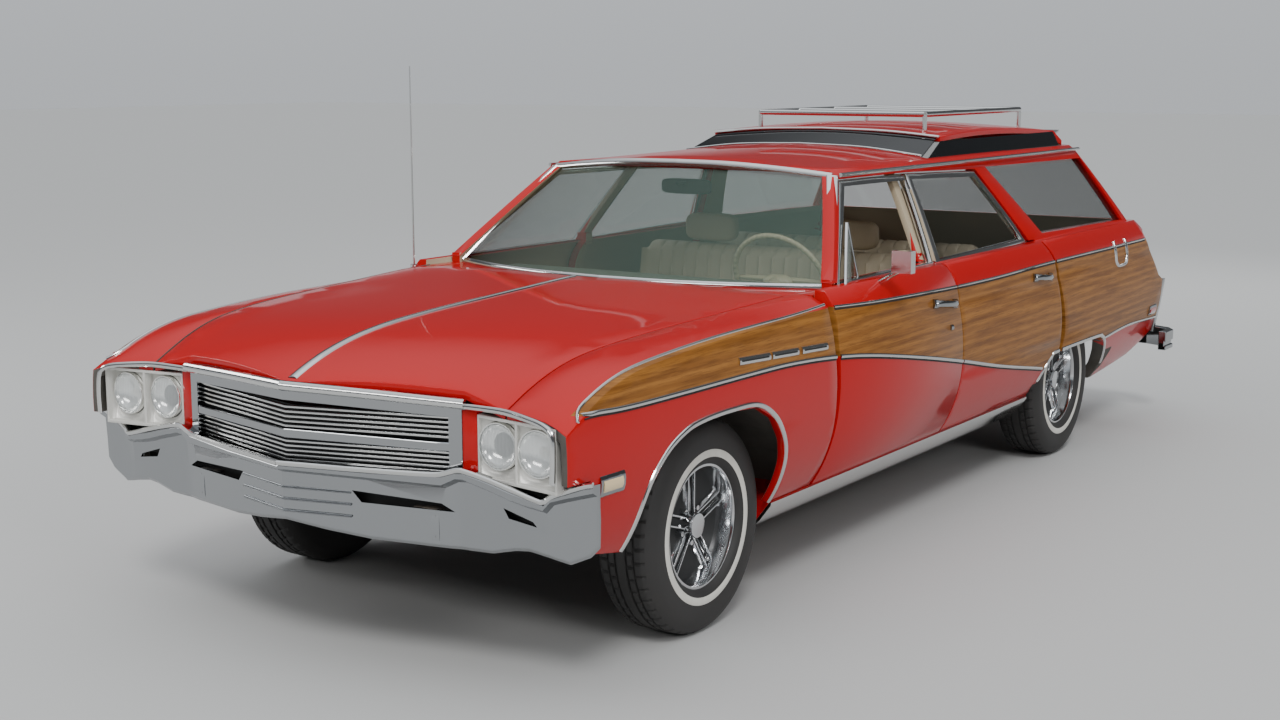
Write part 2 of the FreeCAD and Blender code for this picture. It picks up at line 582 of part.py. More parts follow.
# Filler panels between the grille and the lamps, then the lamp bezels with two cells each
filler = plan_prism([(half + 0.3, -800), (587.7, -793), (587.7, -772.3), (half + 0.3, -772.3)], 600, 806)
filler = filler.cut(fender).cut(hood).cut(nodes["grille"].Shape).cut(support)
keep("filler_panels", Part.makeCompound([filler, mirrored(filler)]))
bezel = plan_prism([(588, -794), (893, -842), (893, -772.3), (588, -772.3)], 616, 797).cut(fender).cut(hood)
lamps = []
for centre, low_x, high_x, face in ((664, 595, 735, -798), (814, 744, 886, -818)):
    bezel = bezel.cut(box((low_x, -900, 626), (high_x, face + 14, 788)))
    bezel = bezel.cut(rod(s.lamp_radius + 0.3, (centre, -900, s.lamp_height),
                          (centre, face + 30, s.lamp_height)))
    lens = Part.makeCylinder(s.lamp_radius, 26, point(centre, face + 3.7, s.lamp_height),
                             FreeCAD.Vector(0, 1, 0))
    lens = lens.makeFillet(9, [lens.Edges[0] if lens.Edges[0].CenterOfMass.y < lens.Edges[2].CenterOfMass.y
                               else lens.Edges[2]])
    lamps.append(lens.cut(support))
bezel = max(bezel.Solids, key=lambda solid: solid.Volume)
keep("lamp_bezels", Part.makeCompound([bezel, mirrored(bezel)]))
keep("headlamps", Part.makeCompound(lamps + [mirrored(lens) for lens in lamps]))

# Front bumper: across, lip back, lip height, height under the lip, bottom height, depth of the top ledge
BUMPER = ((0, -981, 620, 600, 449, 32), (131, -948, 620, 598, 429, 34), (267, -914, 619, 596, 415, 36),
          (504, -855, 627, 592, 410, 40), (545, -845, 641, 613, 411, 46), (572, -843, 643, 615, 411, 44),
          (644, -835, 627, 597, 412, 44), (720, -829, 607, 576, 430, 44), (763, -825, 598, 567, 434, 42),
          (828, -819, 582, 558, 424, 40), (850, -815, 603, 583, 419, 38), (890, -809, 618, 596, 412, 38),
          (952, -802, 641, 614, 440, 36), (980, -799, 648, 622, 470, 35))


def bumper_section(row, shell=12):
    x, lip, top, under, bottom, ledge = row
    middle = (under + bottom) / 2
    face = [(lip + ledge, top - 2), (lip + 7, top), (lip, top - 8), (lip + 1, under + 5),
            (lip + 21, under - 7),
            (lip + 25, middle), (lip + 27, bottom + 10), (lip + 34, bottom)]
    back = [(lip + 35, bottom + 12), (lip + 37, middle), (lip + 33, under - 12), (lip + 15, under),
            (lip + 16, top - shell - 2), (lip + ledge, top - shell - 2)]
    return [(x, b, z) for b, z in face + back]


rows = [(-row[0],) + row[1:] for row in reversed(BUMPER[1:])] + list(BUMPER)
bumper = Part.makeLoft([wire_of([point(*p) for p in bumper_section(row)]) for row in rows], True, True)
end_face = [point(*p) for p in bumper_section(BUMPER[-1])[:8]]
end_plate = block_of(end_face, FreeCAD.Vector(-8, 0, 0))
bumper = fused([bumper, end_plate, mirrored(end_plate)])
SLOTS = (((218, 555), (490, 540), (530, 518), (246, 522)), ((688, 549), (782, 521), (794, 507), (704, 521)))
for slot in SLOTS:
    for sign in (1, -1):
        bumper = bumper.cut(front_prism([(sign * x, z) for x, z in slot], -1100, -700))
bumper = bumper.cut(fender).cut(mirrored(fender)).cut(nodes["grille"].Shape).cut(bezel).cut(mirrored(bezel))
bumper = bumper.cut(filler).cut(mirrored(filler)).cut(support)

# Rear bumper: a deep bar, wrapped round at the ends
REAR_BUMPER = ((0, 4457), (500, 4452), (850, 4425), (925, 4390), (962, 4330), (962, 4212))


def rear_bumper_plan(inset):
    return [(x - (inset if x else 0), b - (inset if x < 960 else 0)) for x, b in REAR_BUMPER]


rear_groove = plan_prism(rear_bumper_plan(8) + [(1100, 4212), (1100, 4600), (0, 4600)], 352, 372)
bar_plan = rear_bumper_plan(0) + list(reversed(rear_bumper_plan(s.bumper_depth)))
rear_bar = plan_prism(bar_plan, 330, 424).cut(rear_groove)
bumper_rear = fused([rear_bar, mirrored(rear_bar)])
keep("bumper_rear", bumper_rear)

# Chassis: two rails seen from the side, and cross members
RAIL = ((-838.7, 520), (330, 520), (470, 290), (2650, 290), (2780, 590), (3450, 590), (3640, 400),
        (4412.6, 400),
        (4412.6, 320), (3580, 320), (3400, s.kick_up_bottom), (2870, s.kick_up_bottom), (2730, 180), (430,
                                                                                                      180),
        (290, 410), (-700, 410), (-838.7, 440))
RAIL_SIDES = (390, 470)
rail = prism(RAIL, *RAIL_SIDES)
cross = [box((-400, back, 200), (400, back + 90, 280)) for back in (860, 2400)]
cross += [box((-400, -740, 420), (400, -680, 500)), box((-400, 4110, 320), (400, 4190, 400))]
frame = fused([rail, mirrored(rail)] + cross).cut(bumper_rear)
keep("chassis_frame", frame)
keep("bumper_front", bumper.cut(frame))


def grown(outline, share, centre=(-80, 300)):
    # the same outline, larger by a share about a centre
    return [(centre[0] + (b - centre[0]) * share, centre[1] + (z - centre[1]) * share) for b, z in outline]


# Inner fenders: the shell over each front tyre, deep enough behind the axle for a tyre on full
# lock, and the apron between it and the engine
APRON = (480, 488)
STEERING_ROOM = 1.28
shell = [(b * STEERING_ROOM if b > 0 else b, z) for b, z in FRONT_ARCH]
liner = prism(grown(shell, 1.034), APRON[0], 950).cut(prism(grown(shell, 1.018), APRON[0] - 10, 960))
liner = liner.common(box((APRON[0], -600, 392), (950, 520, 800))).cut(fender)
liner = max(liner.Solids, key=lambda solid: solid.Volume)
apron = box((APRON[0], -540, 520.3), (APRON[1], 420, 860)).fuse(box((430, -540, 520.3),
                                                                    (APRON[1], 330, 526.3)))
liner = fused([liner, apron]).cut(box((420, -110, 500), (500, 110, 540))).cut(frame)
keep("inner_fenders", Part.makeCompound([liner, mirrored(liner)]))

# From here on most pieces are objects whose sizes and places follow formulas on the sheet
TURNS = {"x": FreeCAD.Rotation(FreeCAD.Vector(0, 1, 0), 90), "y": FreeCAD.Rotation(FreeCAD.Vector(1, 0, 0),
                                                                                   -90),
         "z": FreeCAD.Rotation()}


def placed(item, across, back, height):
    for axis, formula in (("x", across), ("y", "Sizes.front_axle_y + (%s)" % back), ("z", height)):
        item.setExpression(".Placement.Base." + axis, formula)
    return item


def cylinder(name, radius, length, across, back, height, axis="z"):
    item = doc.addObject("Part::Cylinder", name)
    item.Placement = FreeCAD.Placement(FreeCAD.Vector(), TURNS[axis])
    item.setExpression("Radius", radius)
    item.setExpression("Height", length)
    return placed(item, across, back, height)


def block(name, width, length, rise, across, back, height):
    item = doc.addObject("Part::Box", name)
    item.setExpression("Length", width)
    item.setExpression("Width", length)
    item.setExpression("Height", rise)
    return placed(item, across, back, height)


def joined(name, parts):
    # one piece of several that run into one another
    item = doc.addObject("Part::MultiFuse", name)
    item.Shapes = parts
    item.Refine = True
    return item


def less(name, whole, tool):
    item = doc.addObject("Part::Cut", name)
    item.Base = whole
    item.Tool = tool
    return item


def profile(body, name, plane, corners):
    # closed outline on a plane of the body, each corner tied to a pair of formulas
    sketch = body.newObject("Sketcher::SketchObject", name)
    plane_feature = [item for item in body.Origin.OriginFeatures if item.Name.startswith(plane)][0]
    sketch.AttachmentSupport = (plane_feature, [""])
    sketch.MapMode = "FlatFace"
    spots = [FreeCAD.Vector(*[float(sheet.evalExpression(formula)) for formula in pair],
                            0) for pair in corners]
    for i, spot in enumerate(spots):
        sketch.addGeometry(Part.LineSegment(spot, spots[(i + 1) % len(spots)]))
    for i, (pair, spot) in enumerate(zip(corners, spots)):
        sketch.addConstraint(Sketcher.Constraint("Coincident", (i or len(spots)) - 1, 2, i, 1))
        for kind, formula, size, line in (("DistanceX", pair[0], spot.x, -2),
                                          ("DistanceY", pair[1], spot.y, -1)):
            if formula == "0":
                sketch.addConstraint(Sketcher.Constraint("PointOnObject", i, 1, line))
                continue
            number = sketch.addConstraint(Sketcher.Constraint(kind, -1, 1, i, 1, size))
            sketch.setExpression("Constraints[%d]" % number, formula)
    return sketch


def padded(name, plane, corners, length, across, back, height):
    # outline thickened evenly to both sides of its plane
    body = doc.addObject("PartDesign::Body", name)
    pad = body.newObject("PartDesign::Pad", name + "_pad")
    pad.Profile = profile(body, name + "_outline", plane, corners)
    pad.Midplane = True
    pad.setExpression("Length", length)
    placed(body, across, back, height)
    return body


def turned(name, corners, across, back, height, half_turn):
    # outline spun about the axle
    body = doc.addObject("PartDesign::Body", name)
    spin = body.newObject("PartDesign::Revolution", name + "_spin")
    sketch = profile(body, name + "_outline", "XZ_Plane", corners)
    spin.Profile = sketch
    spin.ReferenceAxis = (sketch, ["H_Axis"])
    spin.Angle = 360
    body.Placement = FreeCAD.Placement(FreeCAD.Vector(), FreeCAD.Rotation(FreeCAD.Vector(0, 0, 1),
                                                                          half_turn))
    placed(body, across, back, height)
    return body


engine_block = block("engine_block", "Sizes.engine_width", "Sizes.engine_length", "Sizes.engine_height",
                     "-Sizes.engine_width / 2", "Sizes.engine_rear - Sizes.engine_length",
                     "Sizes.engine_bottom")
gearbox = block("gearbox", "Sizes.gearbox_width", "Sizes.gearbox_length", "Sizes.gearbox_height",
                "-Sizes.gearbox_width / 2", "Sizes.engine_rear", "Sizes.gearbox_bottom")
nodes["engine"] = joined("engine", [engine_block, gearbox])

# Rear axle: tube, gear housing, brake drums and the seats of the springs
axle_half = "(Sizes.hub_face - Sizes.drum_width / 2)"
axle = [cylinder("axle_tube", "Sizes.axle_tube_radius", "2 * " + axle_half, "-" + axle_half,
                 "Sizes.wheelbase",
                 "Sizes.tyre_radius", "x"),
        cylinder("axle_housing", "Sizes.housing_radius", "Sizes.housing_length", "0",
                 "Sizes.wheelbase - Sizes.housing_length / 2", "Sizes.tyre_radius", "y")]
for side, sign in SIDES:
    drum_foot = "Sizes.hub_face - Sizes.drum_width" if sign > 0 else "-Sizes.hub_face"
    axle.append(cylinder("rear_drum_" + side, "Sizes.drum_radius", "Sizes.drum_width", drum_foot,
                         "Sizes.wheelbase",
                         "Sizes.tyre_radius", "x"))
    axle.append(cylinder("spring_seat_" + side, "55", "Sizes.kick_up_bottom - Sizes.tyre_radius",
                         str(sign * sum(RAIL_SIDES) / 2), "Sizes.wheelbase", "Sizes.tyre_radius"))
nodes["rear_axle"] = joined("rear_axle", axle)
nodes["driveshaft"] = cylinder(
    "driveshaft", "Sizes.shaft_radius",
    "Sizes.wheelbase - Sizes.housing_length / 2 - Sizes.gearbox_rear - 2 * Sizes.seat_gap",
    "0", "Sizes.gearbox_rear + Sizes.seat_gap", "Sizes.tyre_radius", "y")


def pipe_run(radius, stops):
    parts = [rod(radius, a, b) for a, b in zip(stops, stops[1:])]
    parts += [Part.makeSphere(radius, point(*c)) for c in stops[1:-1]]
    return fused(parts)


PIPE_STOPS = ((230, 125, s.engine_bottom + 20), (230, 125, 330), (250, 450, 160), (250, 2500, 160),
              (250, 2850, 440),
              (250, 3250, 440), (300, 3440, 300), (620, 3560, 280), (700, 3690, 250))
doc.recompute()
keep("exhaust", pipe_run(25, PIPE_STOPS).cut(nodes["engine"].Shape))

tank_corners = [(a + "Sizes.tank_width / 2", b) for a, b in (("-", "0"), ("", "0"))]
tank_corners += [(a + "Sizes.tank_width / 2", "Sizes.tank_length") for a in ("", "-")]
tank = doc.addObject("PartDesign::Body", "fuel_tank")
tank_pad = tank.newObject("PartDesign::Pad", "fuel_tank_pad")
tank_pad.Profile = profile(tank, "fuel_tank_outline", "XY_Plane", tank_corners)
tank_pad.setExpression("Length", "Sizes.tank_height")
doc.recompute()
tank_edges = tank.newObject("PartDesign::Fillet", "fuel_tank_edges")
tank_edges.Base = (tank_pad, ["Edge%d" % (i + 1) for i, edge in enumerate(tank_pad.Shape.Edges)
                              if abs(edge.Length - s.tank_height) < 1])
tank_edges.setExpression("Radius", "Sizes.tank_height / 4")
nodes["fuel_tank"] = placed(tank, "0", "3560", "Sizes.tank_bottom")

# Front suspension: cross member and arms, then the knuckles that carry the wheels
kingpin = s.kingpin_half_width


def arm(root, low, high):
    # wishbone in plan, wide at its root and rounded off to the kingpin
    return plan_prism([(root, -90), (kingpin, -25), (kingpin + 25, 0), (kingpin, 25), (root, 90)], low, high)


lower_arm = fused([arm(380, 232, 262), box((380, -90, 232), (390, 90, 400))])
upper_arm = arm(478, 500.3, 522)
member = fused([box((-390, -90, 330), (390, 90, 410)), lower_arm, mirrored(lower_arm)])
keep("front_suspension", Part.makeCompound([member, upper_arm, mirrored(upper_arm)]))
for side, sign in SIDES:
    pivot = ("" if sign > 0 else "-") + "Sizes.kingpin_half_width"
    stub_foot = "Sizes.kingpin_half_width" if sign > 0 else "-Sizes.hub_face + Sizes.drum_width / 2"
    drum_foot = "Sizes.hub_face - Sizes.drum_width" if sign > 0 else "-Sizes.hub_face"
    parts = [cylinder("kingpin_" + side, "22", "237.7", pivot, "0", "262 + Sizes.seat_gap"),
             cylinder("stub_" + side, "30", "%s - Sizes.kingpin_half_width" % axle_half,
                      stub_foot, "0", "Sizes.tyre_radius", "x"),
             cylinder("front_drum_" + side, "Sizes.drum_radius", "Sizes.drum_width", drum_foot, "0",
                      "Sizes.tyre_radius", "x")]
    nodes["knuckle_" + side] = joined("knuckle_" + side, parts)

# Bench seats: side outline of cushion and backrest as (back, height), legs, and headrests in front
BENCH = (("0", "0"), ("0", "118"), ("30", "148"), ("510", "140"), ("566", "550"), ("590", "578"),
         ("656", "578"),
         ("680", "550"), ("625", "0"))
LOW_BENCH = (("0", "0"), ("0", "118"), ("30", "148"), ("378", "140"), ("440", "568"), ("540", "568"),
             ("490", "0"))
for name, outline, width, front in (("front_seat", BENCH, "Sizes.seat_width", 1330),
                                    ("rear_seat", LOW_BENCH, "Sizes.rear_seat_width", 2080)):
    parts = [padded(name + "_bench", "YZ_Plane", outline, width, "0", str(front), "Sizes.seat_base")]
    for side, across in (("left", "300"), ("right", "-600")):
        parts.append(block("%s_leg_%s" % (name, side), "300", "380", "Sizes.seat_base - 302 + 20", across,
                           str(front + 70), "302"))
        if name == "front_seat":
            rest_foot = "205" if side == "left" else "-205 - Sizes.headrest_width"
            parts.append(block("headrest_" + side, "Sizes.headrest_width", "70", "150", rest_foot,
                               str(front + 588), "Sizes.seat_base + 560"))
    nodes[name] = joined(name, parts)

dash_face = plan_prism([(-690, 880), (0, 700), (690, 880), (690, 1040), (-690, 1040)], cowl_foot, belt - 35)
keep("dashboard", fused([box((-690, 482, belt - 303), (690, 1040, cowl_foot)), dash_face]))

# Steering column, sloping up to the wheel in front of the driver
WHEEL_CENTRE = (375, 1290, 945)
slope = math.radians(s.column_slope)
column_axis = FreeCAD.Vector(0, math.cos(slope), math.sin(slope))
hub_foot = point(*WHEEL_CENTRE) - column_axis * 19.6
column_end = hub_foot - column_axis * s.seat_gap
column = Part.makeCylinder(30, 277, column_end - column_axis * 277, column_axis)
keep("steering_column", column.cut(nodes["dashboard"].Shape))
rim = doc.addObject("Part::Torus", "steering_rim")
rim.setExpression("Radius1", "Sizes.steering_wheel_radius")
rim.setExpression("Radius2", "Sizes.steering_rim_radius")
rim.Placement = FreeCAD.Placement(point(*WHEEL_CENTRE), FreeCAD.Rotation(FreeCAD.Vector(0, 0, 1),
                                                                         column_axis))
hub = doc.addObject("Part::Cylinder", "steering_hub")
hub.Radius, hub.Height = 40, 30
hub.Placement = FreeCAD.Placement(hub_foot, FreeCAD.Rotation(FreeCAD.Vector(0, 0, 1), column_axis))
cross_bar = cylinder("steering_spokes", "9", "2 * Sizes.steering_wheel_radius",
                     "%d - Sizes.steering_wheel_radius" % WHEEL_CENTRE[0], str(WHEEL_CENTRE[1]),
                     str(WHEEL_CENTRE[2]), "x")
nodes["steering_wheel"] = joined("steering_wheel", [rim, hub, cross_bar])

# Roof rack: side rails, cross bars and posts that stand on the roof, and the deflector behind
RACK_ENDS = (2490, 3560)
RACK_FOOT = ((2490, 125), (3560, 108))
rack_height = "Sizes.drip_height + Sizes.rack_rise"
bars = [cylinder("rack_bar_%d" % back, "Sizes.rack_bar_radius", "2 * Sizes.rack_half_width",
                 "-Sizes.rack_half_width", str(back), rack_height, "x")
        for back in (RACK_ENDS[0], 2847, 3203, RACK_ENDS[1])]
for side, sign in SIDES:
    across = ("" if sign > 0 else "-") + "Sizes.rack_half_width"
    bars.append(cylinder("rack_rail_" + side, "Sizes.rack_bar_radius", str(RACK_ENDS[1] - RACK_ENDS[0]),
                         across,
                         str(RACK_ENDS[0]), rack_height, "y"))
    for back, foot in RACK_FOOT:
        bars.append(cylinder("rack_post_%s_%d" % (side, back), "10", "Sizes.rack_rise - %d" % foot, across,
                             str(back),
                             "Sizes.drip_height + %d" % foot))
rack = less("rack_trimmed", joined("rack_frame", bars), nodes["roof"])
DEFLECTOR = ((3690, drip + 30), (3700, drip + 30), (3716, drip + 70), (3790, drip + 92), (3790, drip + 98),
             (3706, drip + 78))
deflector = prism(DEFLECTOR, -520, 520).cut(roof)
doc.recompute()
keep("rack", Part.makeCompound([rack.Shape, max(deflector.Solids, key=lambda solid: solid.Volume)]))
mast = doc.addObject("Part::Cone", "antenna_mast")
mast.Radius1, mast.Radius2, mast.Height = 4, 2.5, 760
placed(mast, "-835", "591", "982")
antenna_foot = cylinder("antenna_foot", "14", "30", "-835", "591", "965")
nodes["antenna"] = less("antenna", joined("antenna_whole", [mast, antenna_foot]), nodes["fender_right"])

# Road wheels: corners as (distance from the tyre's inner face, radius)
TYRE = (("22", "Sizes.rim_radius + 2"), ("2", "Sizes.tyre_radius - 92"), ("2", "Sizes.tyre_radius - 46"),
        ("28", "Sizes.tyre_radius"), ("Sizes.tyre_width - 28", "Sizes.tyre_radius"),
        ("Sizes.tyre_width - 2", "Sizes.tyre_radius - 46"), ("Sizes.tyre_width - 2",
                                                             "Sizes.tyre_radius - 92"),
        ("Sizes.tyre_width - 22", "Sizes.rim_radius + 2"))
seat_radius = "Sizes.rim_radius + 2 - Sizes.seat_gap"
disc_face = "Sizes.disc_inset + Sizes.disc_thickness"
RIM = (("22", seat_radius), ("Sizes.tyre_width - 22", seat_radius),
       ("Sizes.tyre_width - 22", "Sizes.rim_radius - 6"),
       (disc_face, "Sizes.rim_radius - 18"), (disc_face, "Sizes.cap_radius"),
       (disc_face + " + 44", "Sizes.cap_radius - 4"), (disc_face + " + 44", "0"), ("Sizes.disc_inset", "0"),
       ("Sizes.disc_inset", "Sizes.rim_radius - 18"), ("22", "Sizes.rim_radius - 6"))
RIB_GAP = 17
for end, back in (("front", "0"), ("rear", "Sizes.wheelbase")):
    for side, sign in SIDES:
        across = ("" if sign > 0 else "-") + "Sizes.inner_face"
        half_turn = 0 if sign > 0 else 180
        name = "%s_%s" % (end, side)
        nodes["tyre_" + name] = turned("tyre_" + name, TYRE, across, back, "Sizes.tyre_radius", half_turn)
        parts = [turned("rim_" + name, RIM, across, back, "Sizes.tyre_radius", half_turn)]
        doc.recompute()
        wheel_place = parts[0].Placement
        for i in range(int(s.rib_count)):
            turn = FreeCAD.Rotation(FreeCAD.Vector(1, 0, 0), 360 / s.rib_count * i)
            for aside in (-RIB_GAP, RIB_GAP):
                rib = doc.addObject("Part::Box", "rib_%s_%d" % (name, len(parts)))
                rib.setExpression("Length", "Sizes.rib_depth")
                rib.setExpression("Width", "Sizes.rib_thickness")
                rib.setExpression("Height", "Sizes.rim_radius - 16 - Sizes.cap_radius + 6")
                foot = FreeCAD.Vector(s.disc_inset + s.disc_thickness, aside - s.rib_thickness / 2,
                                      s.cap_radius - 6)
                rib.Placement = wheel_place.multiply(FreeCAD.Placement(turn.multVec(foot), turn))
                parts.append(rib)
        nodes["wheel_" + name] = joined("wheel_" + name, parts)

doc.recompute()
faults = [item.Name for item in doc.Objects if "Invalid" in item.State or "Error" in item.State]
faults += [name for name, item in nodes.items() if item.Shape.isNull() or not item.Shape.isValid()]
if faults:
    raise RuntimeError("not written, because these have no sound shape: " + ", ".join(faults))
for name, item in nodes.items():
    item.Label = name
    print(name, len(item.Shape.Solids), round(item.Shape.Volume / 1e6, 2))
    item.Shape.exportStep("parts/%s.step" % name)
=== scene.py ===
import json
import math

import bmesh
import bpy
from mathutils import Matrix, Vector
from mathutils.bvhtree import BVHTree


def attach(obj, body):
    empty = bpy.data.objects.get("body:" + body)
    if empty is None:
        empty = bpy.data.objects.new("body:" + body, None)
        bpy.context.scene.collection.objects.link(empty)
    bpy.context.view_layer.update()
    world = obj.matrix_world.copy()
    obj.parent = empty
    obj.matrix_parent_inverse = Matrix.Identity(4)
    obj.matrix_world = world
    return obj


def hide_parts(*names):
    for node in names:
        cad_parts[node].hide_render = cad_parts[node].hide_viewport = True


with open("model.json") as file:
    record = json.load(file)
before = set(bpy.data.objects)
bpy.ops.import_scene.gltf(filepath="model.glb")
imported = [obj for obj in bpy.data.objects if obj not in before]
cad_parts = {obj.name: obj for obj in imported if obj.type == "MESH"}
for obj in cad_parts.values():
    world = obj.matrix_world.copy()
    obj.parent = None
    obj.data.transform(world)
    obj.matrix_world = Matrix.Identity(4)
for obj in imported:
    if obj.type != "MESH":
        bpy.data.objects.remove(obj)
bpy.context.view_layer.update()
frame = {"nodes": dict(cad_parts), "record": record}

# Photographer's view: standing off the left front corner, at about eye height, with a
# short telephoto lens. The picture is 1280 by 720.
eye = bpy.data.objects.new("eye", bpy.data.cameras.new("eye"))
eye.location = (3.572, -6.200, 1.736)
eye.rotation_euler = [math.radians(degrees) for degrees in (80.49, 0.06, 33.68)]
eye.data.lens = 49.13
eye.data.sensor_width = 36
eye.data.clip_end = 200
bpy.context.scene.collection.objects.link(eye)
bpy.context.scene.camera = eye

# Studio: a pale seamless floor, soft boxes overhead and at the sides, and a surround that is
# bright above and darker round the horizon, so that chrome and gloss paint mirror both.
FLOOR_TONE = (0.50, 0.50, 0.49)
FLOOR_REACH = 60
SURROUND = (  # share of the way from straight down to straight up, brightness
    (0.0, 0.30), (0.50, 0.56), (0.53, 0.60), (0.57, 0.10), (0.70, 0.09), (0.80, 0.60), (1.0, 1.5),
)
SURROUND_TINT = (0.96, 1.0, 1.05)
KEY_AIM = (-0.45, 0.62, -0.85)
KEY_STRENGTH = 1.3
KEY_WIDTH = 14  # degrees, for soft shadows
SOFT_BOXES = (  # place, aimed at, width, length, power
    ((8.5, -5.0, 4.6), (0, 0, 0.6), 4.0, 1.6, 240),
    ((-8.0, -4.0, 4.2), (0, 0, 0.6), 4.0, 1.4, 120),
    ((-1.0, -11.0, 5.0), (0, -1.5, 0.6), 6.0, 1.4, 220),
    ((0.0, 9.0, 4.4), (0, 1.5, 0.8), 7.0, 1.6, 120),
)
ground = bmesh.new()
bmesh.ops.create_grid(ground, x_segments=1, y_segments=1, size=FLOOR_REACH)
floor_mesh = bpy.data.meshes.new("studio_floor")
ground.to_mesh(floor_mesh)
ground.free()
studio_floor = bpy.data.objects.new("studio_floor", floor_mesh)
bpy.context.scene.collection.objects.link(studio_floor)
floor_look = bpy.data.materials.new("studio_floor")
floor_look.use_nodes = True
floor_shader = floor_look.node_tree.nodes["Principled BSDF"]
floor_shader.inputs["Base Color"].default_value = (*FLOOR_TONE, 1)
floor_shader.inputs["Roughness"].default_value = 0.75
floor_mesh.materials.append(floor_look)
for number, (stand, aim, width, length, power) in enumerate(SOFT_BOXES):
    lamp = bpy.data.lights.new("soft_box_%d" % number, "AREA")
    lamp.shape = "RECTANGLE"
    lamp.size = width
    lamp.size_y = length
    lamp.energy = power
    soft_box = bpy.data.objects.new(lamp.name, lamp)
    soft_box.visible_glossy = stand[1] < 0  # the one behind the car isn't mirrored in it
    soft_box.location = stand
    soft_box.rotation_euler = (Vector(aim) - Vector(stand)).to_track_quat("-Z", "Y").to_euler()
    bpy.context.scene.collection.objects.link(soft_box)
key = bpy.data.lights.new("key", "SUN")
key.energy = KEY_STRENGTH
key.angle = math.radians(KEY_WIDTH)
key_light = bpy.data.objects.new("key", key)
key_light.rotation_euler = Vector(KEY_AIM).to_track_quat("-Z", "Y").to_euler()
bpy.context.scene.collection.objects.link(key_light)
surround = bpy.data.worlds.new("surround")
surround.use_nodes = True
sky = surround.node_tree
toward = sky.nodes.new("ShaderNodeTexCoord")
upright = sky.nodes.new("ShaderNodeSeparateXYZ")
bands = sky.nodes.new("ShaderNodeValToRGB")
halved = sky.nodes.new("ShaderNodeMath")
halved.operation = "MULTIPLY_ADD"  # the upright share, -1 to 1, becomes 0 to 1
halved.inputs[1].default_value = 0.5
halved.inputs[2].default_value = 0.5
for stop, (share, tone) in enumerate(SURROUND):
    element = bands.color_ramp.elements[stop] if stop < 2 else bands.color_ramp.elements.new(share)
    element.position = share
    element.color = (*(tone * tint for tint in SURROUND_TINT), 1)
sky.links.new(toward.outputs["Generated"], upright.inputs[0])
sky.links.new(upright.outputs[2], halved.inputs[0])
sky.links.new(halved.outputs[0], bands.inputs[0])
sky.links.new(bands.outputs[0], sky.nodes["Background"].inputs["Color"])
bpy.context.scene.world = surround


# Chassis: two pressed steel rails with cross members, the wishbones and knuckles, the live rear
# axle with its shaft, and the fuel tank. All are black enamel, dusty, with a little rust.
class Dye:
    """One value in a finish's node tree, with arithmetic."""

    def __init__(self, tree, socket):
        self.tree = tree
        self.socket = socket

    def make(self, kind, out=0, settings=None, **values):
        """A new node; its inputs are named, with _ for a blank, or numbered as i0, i1."""
        node = self.tree.nodes.new("ShaderNode" + kind)
        for key, value in (settings or {}).items():
            if key == "stops":
                ramp = node.color_ramp.elements
                while len(ramp) < len(value):
                    ramp.new(0.5)
                for stop, (at, tone) in zip(ramp, value):
                    stop.position = at
                    stop.color = (tone, tone, tone, 1)
            else:
                setattr(node, key, value)
        for key, value in values.items():
            key = int(key[1:]) if key[0] == "i" and key[1:].isdigit() else key.replace("_", " ")
            if isinstance(value, Dye):
                self.tree.links.new(value.socket, node.inputs[key])
            else:
                node.inputs[key].default_value = value
        return Dye(self.tree, node.outputs[out])

    def worked(self, operation, a, b=0.0):
        return self.make("Math", settings={"operation": operation}, i0=a, i1=b)

    def __add__(self, other):
        return self.worked("ADD", self, other)

    def __radd__(self, other):
        return self.worked("ADD", other, self)

    def __rsub__(self, other):
        return self.worked("SUBTRACT", other, self)

    def __mul__(self, other):
        return self.worked("MULTIPLY", self, other)

    def __rmul__(self, other):
        return self.worked("MULTIPLY", other, self)

    def __gt__(self, other):
        return self.worked("GREATER_THAN", self, other)

    def __lt__(self, other):
        return self.worked("LESS_THAN", self, other)

    def between(self, low, high):
        """0 up to the low value, 1 from the high one, and in step between them."""
        return self.make("MapRange", Value=self, i1=low, i2=high)

    def mix(self, a, b):
        """Colour a where this is 0, b where it is 1."""
        a = a if isinstance(a, Dye) else (*a, 1)
        b = b if isinstance(b, Dye) else (*b, 1)
        return self.make("Mix", out=2, settings={"data_type": "RGBA"}, i0=self, i6=a, i7=b)

    def noise(self, scale, detail=4.0, rough=0.55, stretch=(1, 1, 1)):
        spread = self.make("Mapping", Vector=self, Scale=stretch)
        return self.make("TexNoise", Vector=spread, Scale=scale, Detail=detail, Roughness=rough)

    def feed(self, name):
        self.tree.links.new(self.socket, self.tree.nodes["Principled BSDF"].inputs[name])

    def bump(self, height, strength=0.2, distance=0.001):
        self.make("Bump", Strength=strength, Distance=distance, Height=height).feed("Normal")


def finish(name, tone, rough, metal=0.0, **sockets):
    """A material with fixed values; gives it and the place on the surface as a Dye."""
    look = bpy.data.materials.new(name)
    look.use_nodes = True
    tree = look.node_tree
    shader = tree.nodes["Principled BSDF"]
    shader.inputs["Base Color"].default_value = (*tone, 1)
    shader.inputs["Roughness"].default_value = rough
    shader.inputs["Metallic"].default_value = metal
    for key, value in sockets.items():
        shader.inputs[key.replace("_", " ")].default_value = value
    coordinates = tree.nodes.new("ShaderNodeTexCoord")
    return look, Dye(tree, coordinates.outputs["Object"])


def dress(look, *names):
    """Puts a look on CAD nodes that stay as they are."""
    for name in names:
        node = frame["nodes"][name]
        node.data.materials.clear()
        node.data.materials.append(look)


